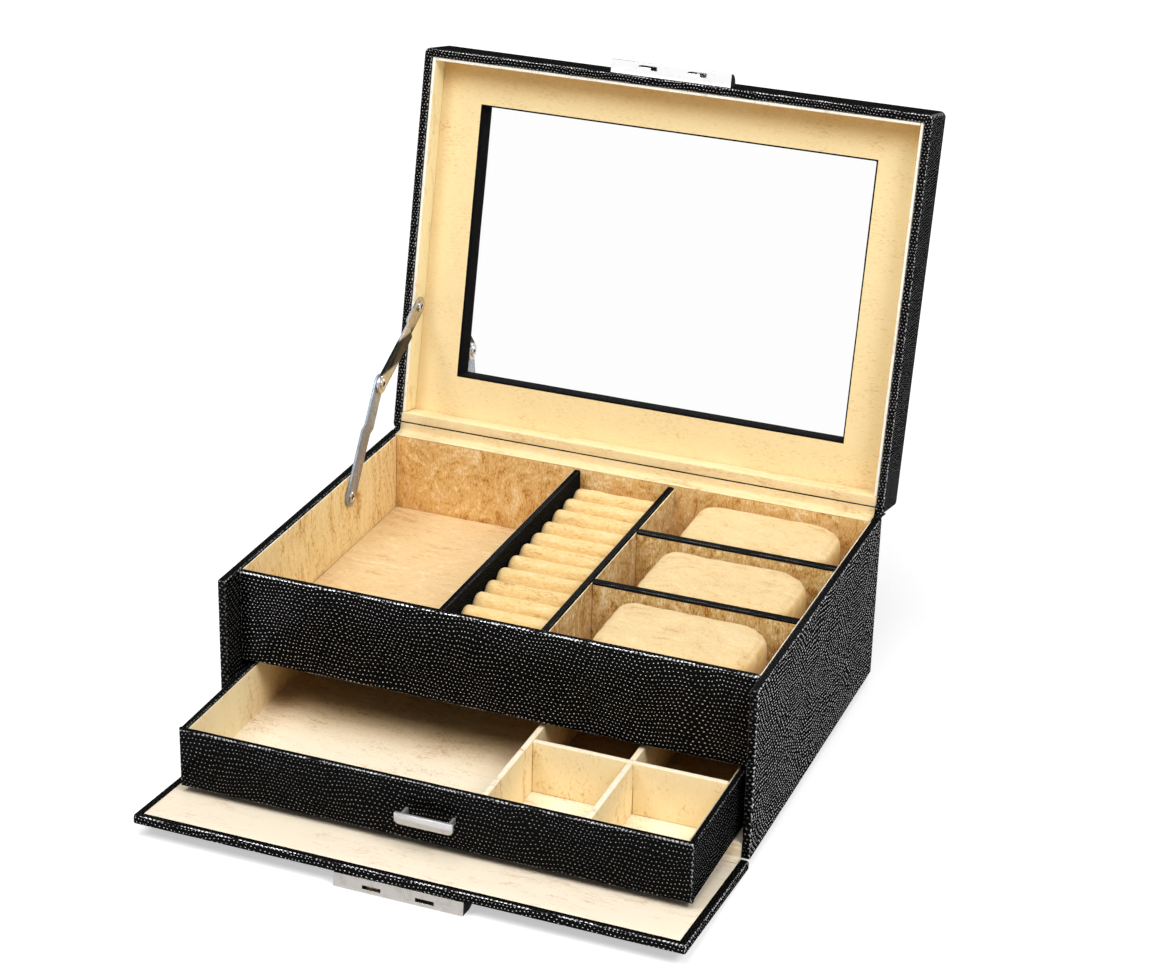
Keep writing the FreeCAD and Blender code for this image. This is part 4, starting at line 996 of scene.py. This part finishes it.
def is_inside(tree, at, facing):
    beside = facing.orthogonal().normalized()
    looks = [facing]
    for step in range(8):
        round_about = Matrix.Rotation(step * math.pi / 4, 3, facing)
        looks.append((facing + (round_about @ beside) * 1.2).normalized())
    met = [tree.ray_cast(at + facing * 1e-5, look, slot_reach)[0] for look in looks]
    return sum(place is not None for place in met) >= met_inside


def eased_fitting(name, finish, ease, dark_inside=False, shaded_ways=()):
    shape = copy_shape(name)
    roll_edges(shape, ease, segments=2)
    shape.normal_update()
    tree = BVHTree.FromBMesh(shape)
    inside = 0
    if dark_inside:
        for face in shape.faces:
            # Painted shade: faces pointing the given ways, and faces inside the slots, take the
            # dull black.
            faces_shaded_way = any(face.normal.dot(Vector(side)) > 0.8 for side in shaded_ways)
            if faces_shaded_way or is_inside(tree, face.calc_center_median(), face.normal):
                face.material_index = 1
                inside += 1
    fitting = new_piece(name + "_eased", shape, finish, body_of[name])
    fitting.data.materials.append(painted_black)
    fitting.data.set_sharp_from_angle(angle=math.radians(35))
    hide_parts(name)
    print(name, "has", inside, "dark faces")


upper_edge, right_edge = (0, 0, 1), (1, 0, 0)
eased_fitting("lid_lock", steel, 0.00012, dark_inside=True, shaded_ways=(upper_edge, right_edge))
eased_fitting("flap_lock", lock_steel, 0.00012, dark_inside=True, shaded_ways=(right_edge,))
eased_fitting("handle", pull_steel, 0.00030)
eased_fitting("stay_lower", lower_steel, 0.00020)
eased_fitting("stay_upper", upper_steel, 0.00020)

# %% [markdown]
# ## Floor, light and air
# The box stands on a white sweep under broad soft lamps. The sweep could be lit until it burns out,
# but that light would bleach the suede. Instead the floor and the air show white only to the eye
# and in reflections, by the light path, while the floor still keeps the shadow of the box.

# %% A bench that knows who looks
def looking_bench(owner):
    """An empty tree, and a value that is 1 for a ray from the eye or from a reflection."""
    owner.use_nodes = True
    owner.node_tree.nodes.clear()
    bench = Bench(owner.node_tree)
    sight = bench.lay("LightPath").outputs
    seen = bench.maths("MAXIMUM", sight["Is Camera Ray"], sight["Is Glossy Ray"])
    return bench, sight, seen


# %% White floor
floor_half = 4
corners = [(x * floor_half, y * floor_half, 0) for x, y in ((-1, -1), (1, -1), (1, 1), (-1, 1))]
floor_mesh = bpy.data.meshes.new("floor")
floor_mesh.from_pydata(corners, [], [(0, 1, 2, 3)])
floor = bpy.data.objects.new("floor", floor_mesh)
bpy.context.scene.collection.objects.link(floor)
paper = bpy.data.materials.new("white_paper")
bench, _, seen = looking_bench(paper)
lit = bench.lay("BsdfDiffuse", {"Color": (0.8, 0.8, 0.8, 1)}).outputs[0]
far = bench.vector("LENGTH", bench.lay("TexCoord").outputs["Object"])
# The glow is weaker near the box, which paints a soft shade round it, and full far away.
glow = bench.maths("MULTIPLY", seen, bench.fade(far, 0.5, 1.8, 0.50, 0.92))
glow = bench.lay("Emission", {"Color": (1, 1, 1, 1), "Strength": glow}).outputs[0]
both = bench.lay("AddShader", {0: lit, 1: glow}).outputs[0]
bench.lay("OutputMaterial", {"Surface": both})
floor_mesh.materials.append(paper)
print("the floor is", 2 * floor_half, "m wide")

# %% White air
air = bpy.data.worlds.new("white_air")
bpy.context.scene.world = air
bench, sight, seen = looking_bench(air)
seen = bench.maths("MAXIMUM", seen, sight["Is Transmission Ray"])
lights_with, shows = 0.22, 1.0
strength = bench.between(seen, lights_with, shows)
glow = bench.lay("Background", {"Color": (1, 1, 1, 1), "Strength": strength}).outputs[0]
bench.lay("OutputWorld", {"Surface": glow})
print("the air lights with", lights_with, "and shows", shows)


# %% Soft lamps
def lamp(name, stands, aims, wide, tall, watts):
    data = bpy.data.lights.new(name, "AREA")
    data.shape, data.size, data.size_y, data.energy = "RECTANGLE", wide, tall, watts
    thing = bpy.data.objects.new(name, data)
    thing.location = stands
    thing.rotation_euler = (Vector(aims) - Vector(stands)).to_track_quat("-Z", "Y").to_euler()
    bpy.context.scene.collection.objects.link(thing)


middle = (0, 0, 0.12)
lamp("front_left_lamp", (-0.7, -1.1, 1.45), middle, wide=0.5, tall=0.5, watts=9)
lamp("top_lamp", (0.0, -0.35, 1.6), middle, wide=1.1, tall=0.9, watts=13)
lamp("right_lamp", (1.1, -0.7, 1.35), middle, wide=0.6, tall=0.6, watts=13.5)
bpy.context.scene.view_settings.view_transform = "Standard"
print("lamps:", [lamp_data.name for lamp_data in bpy.data.lights])
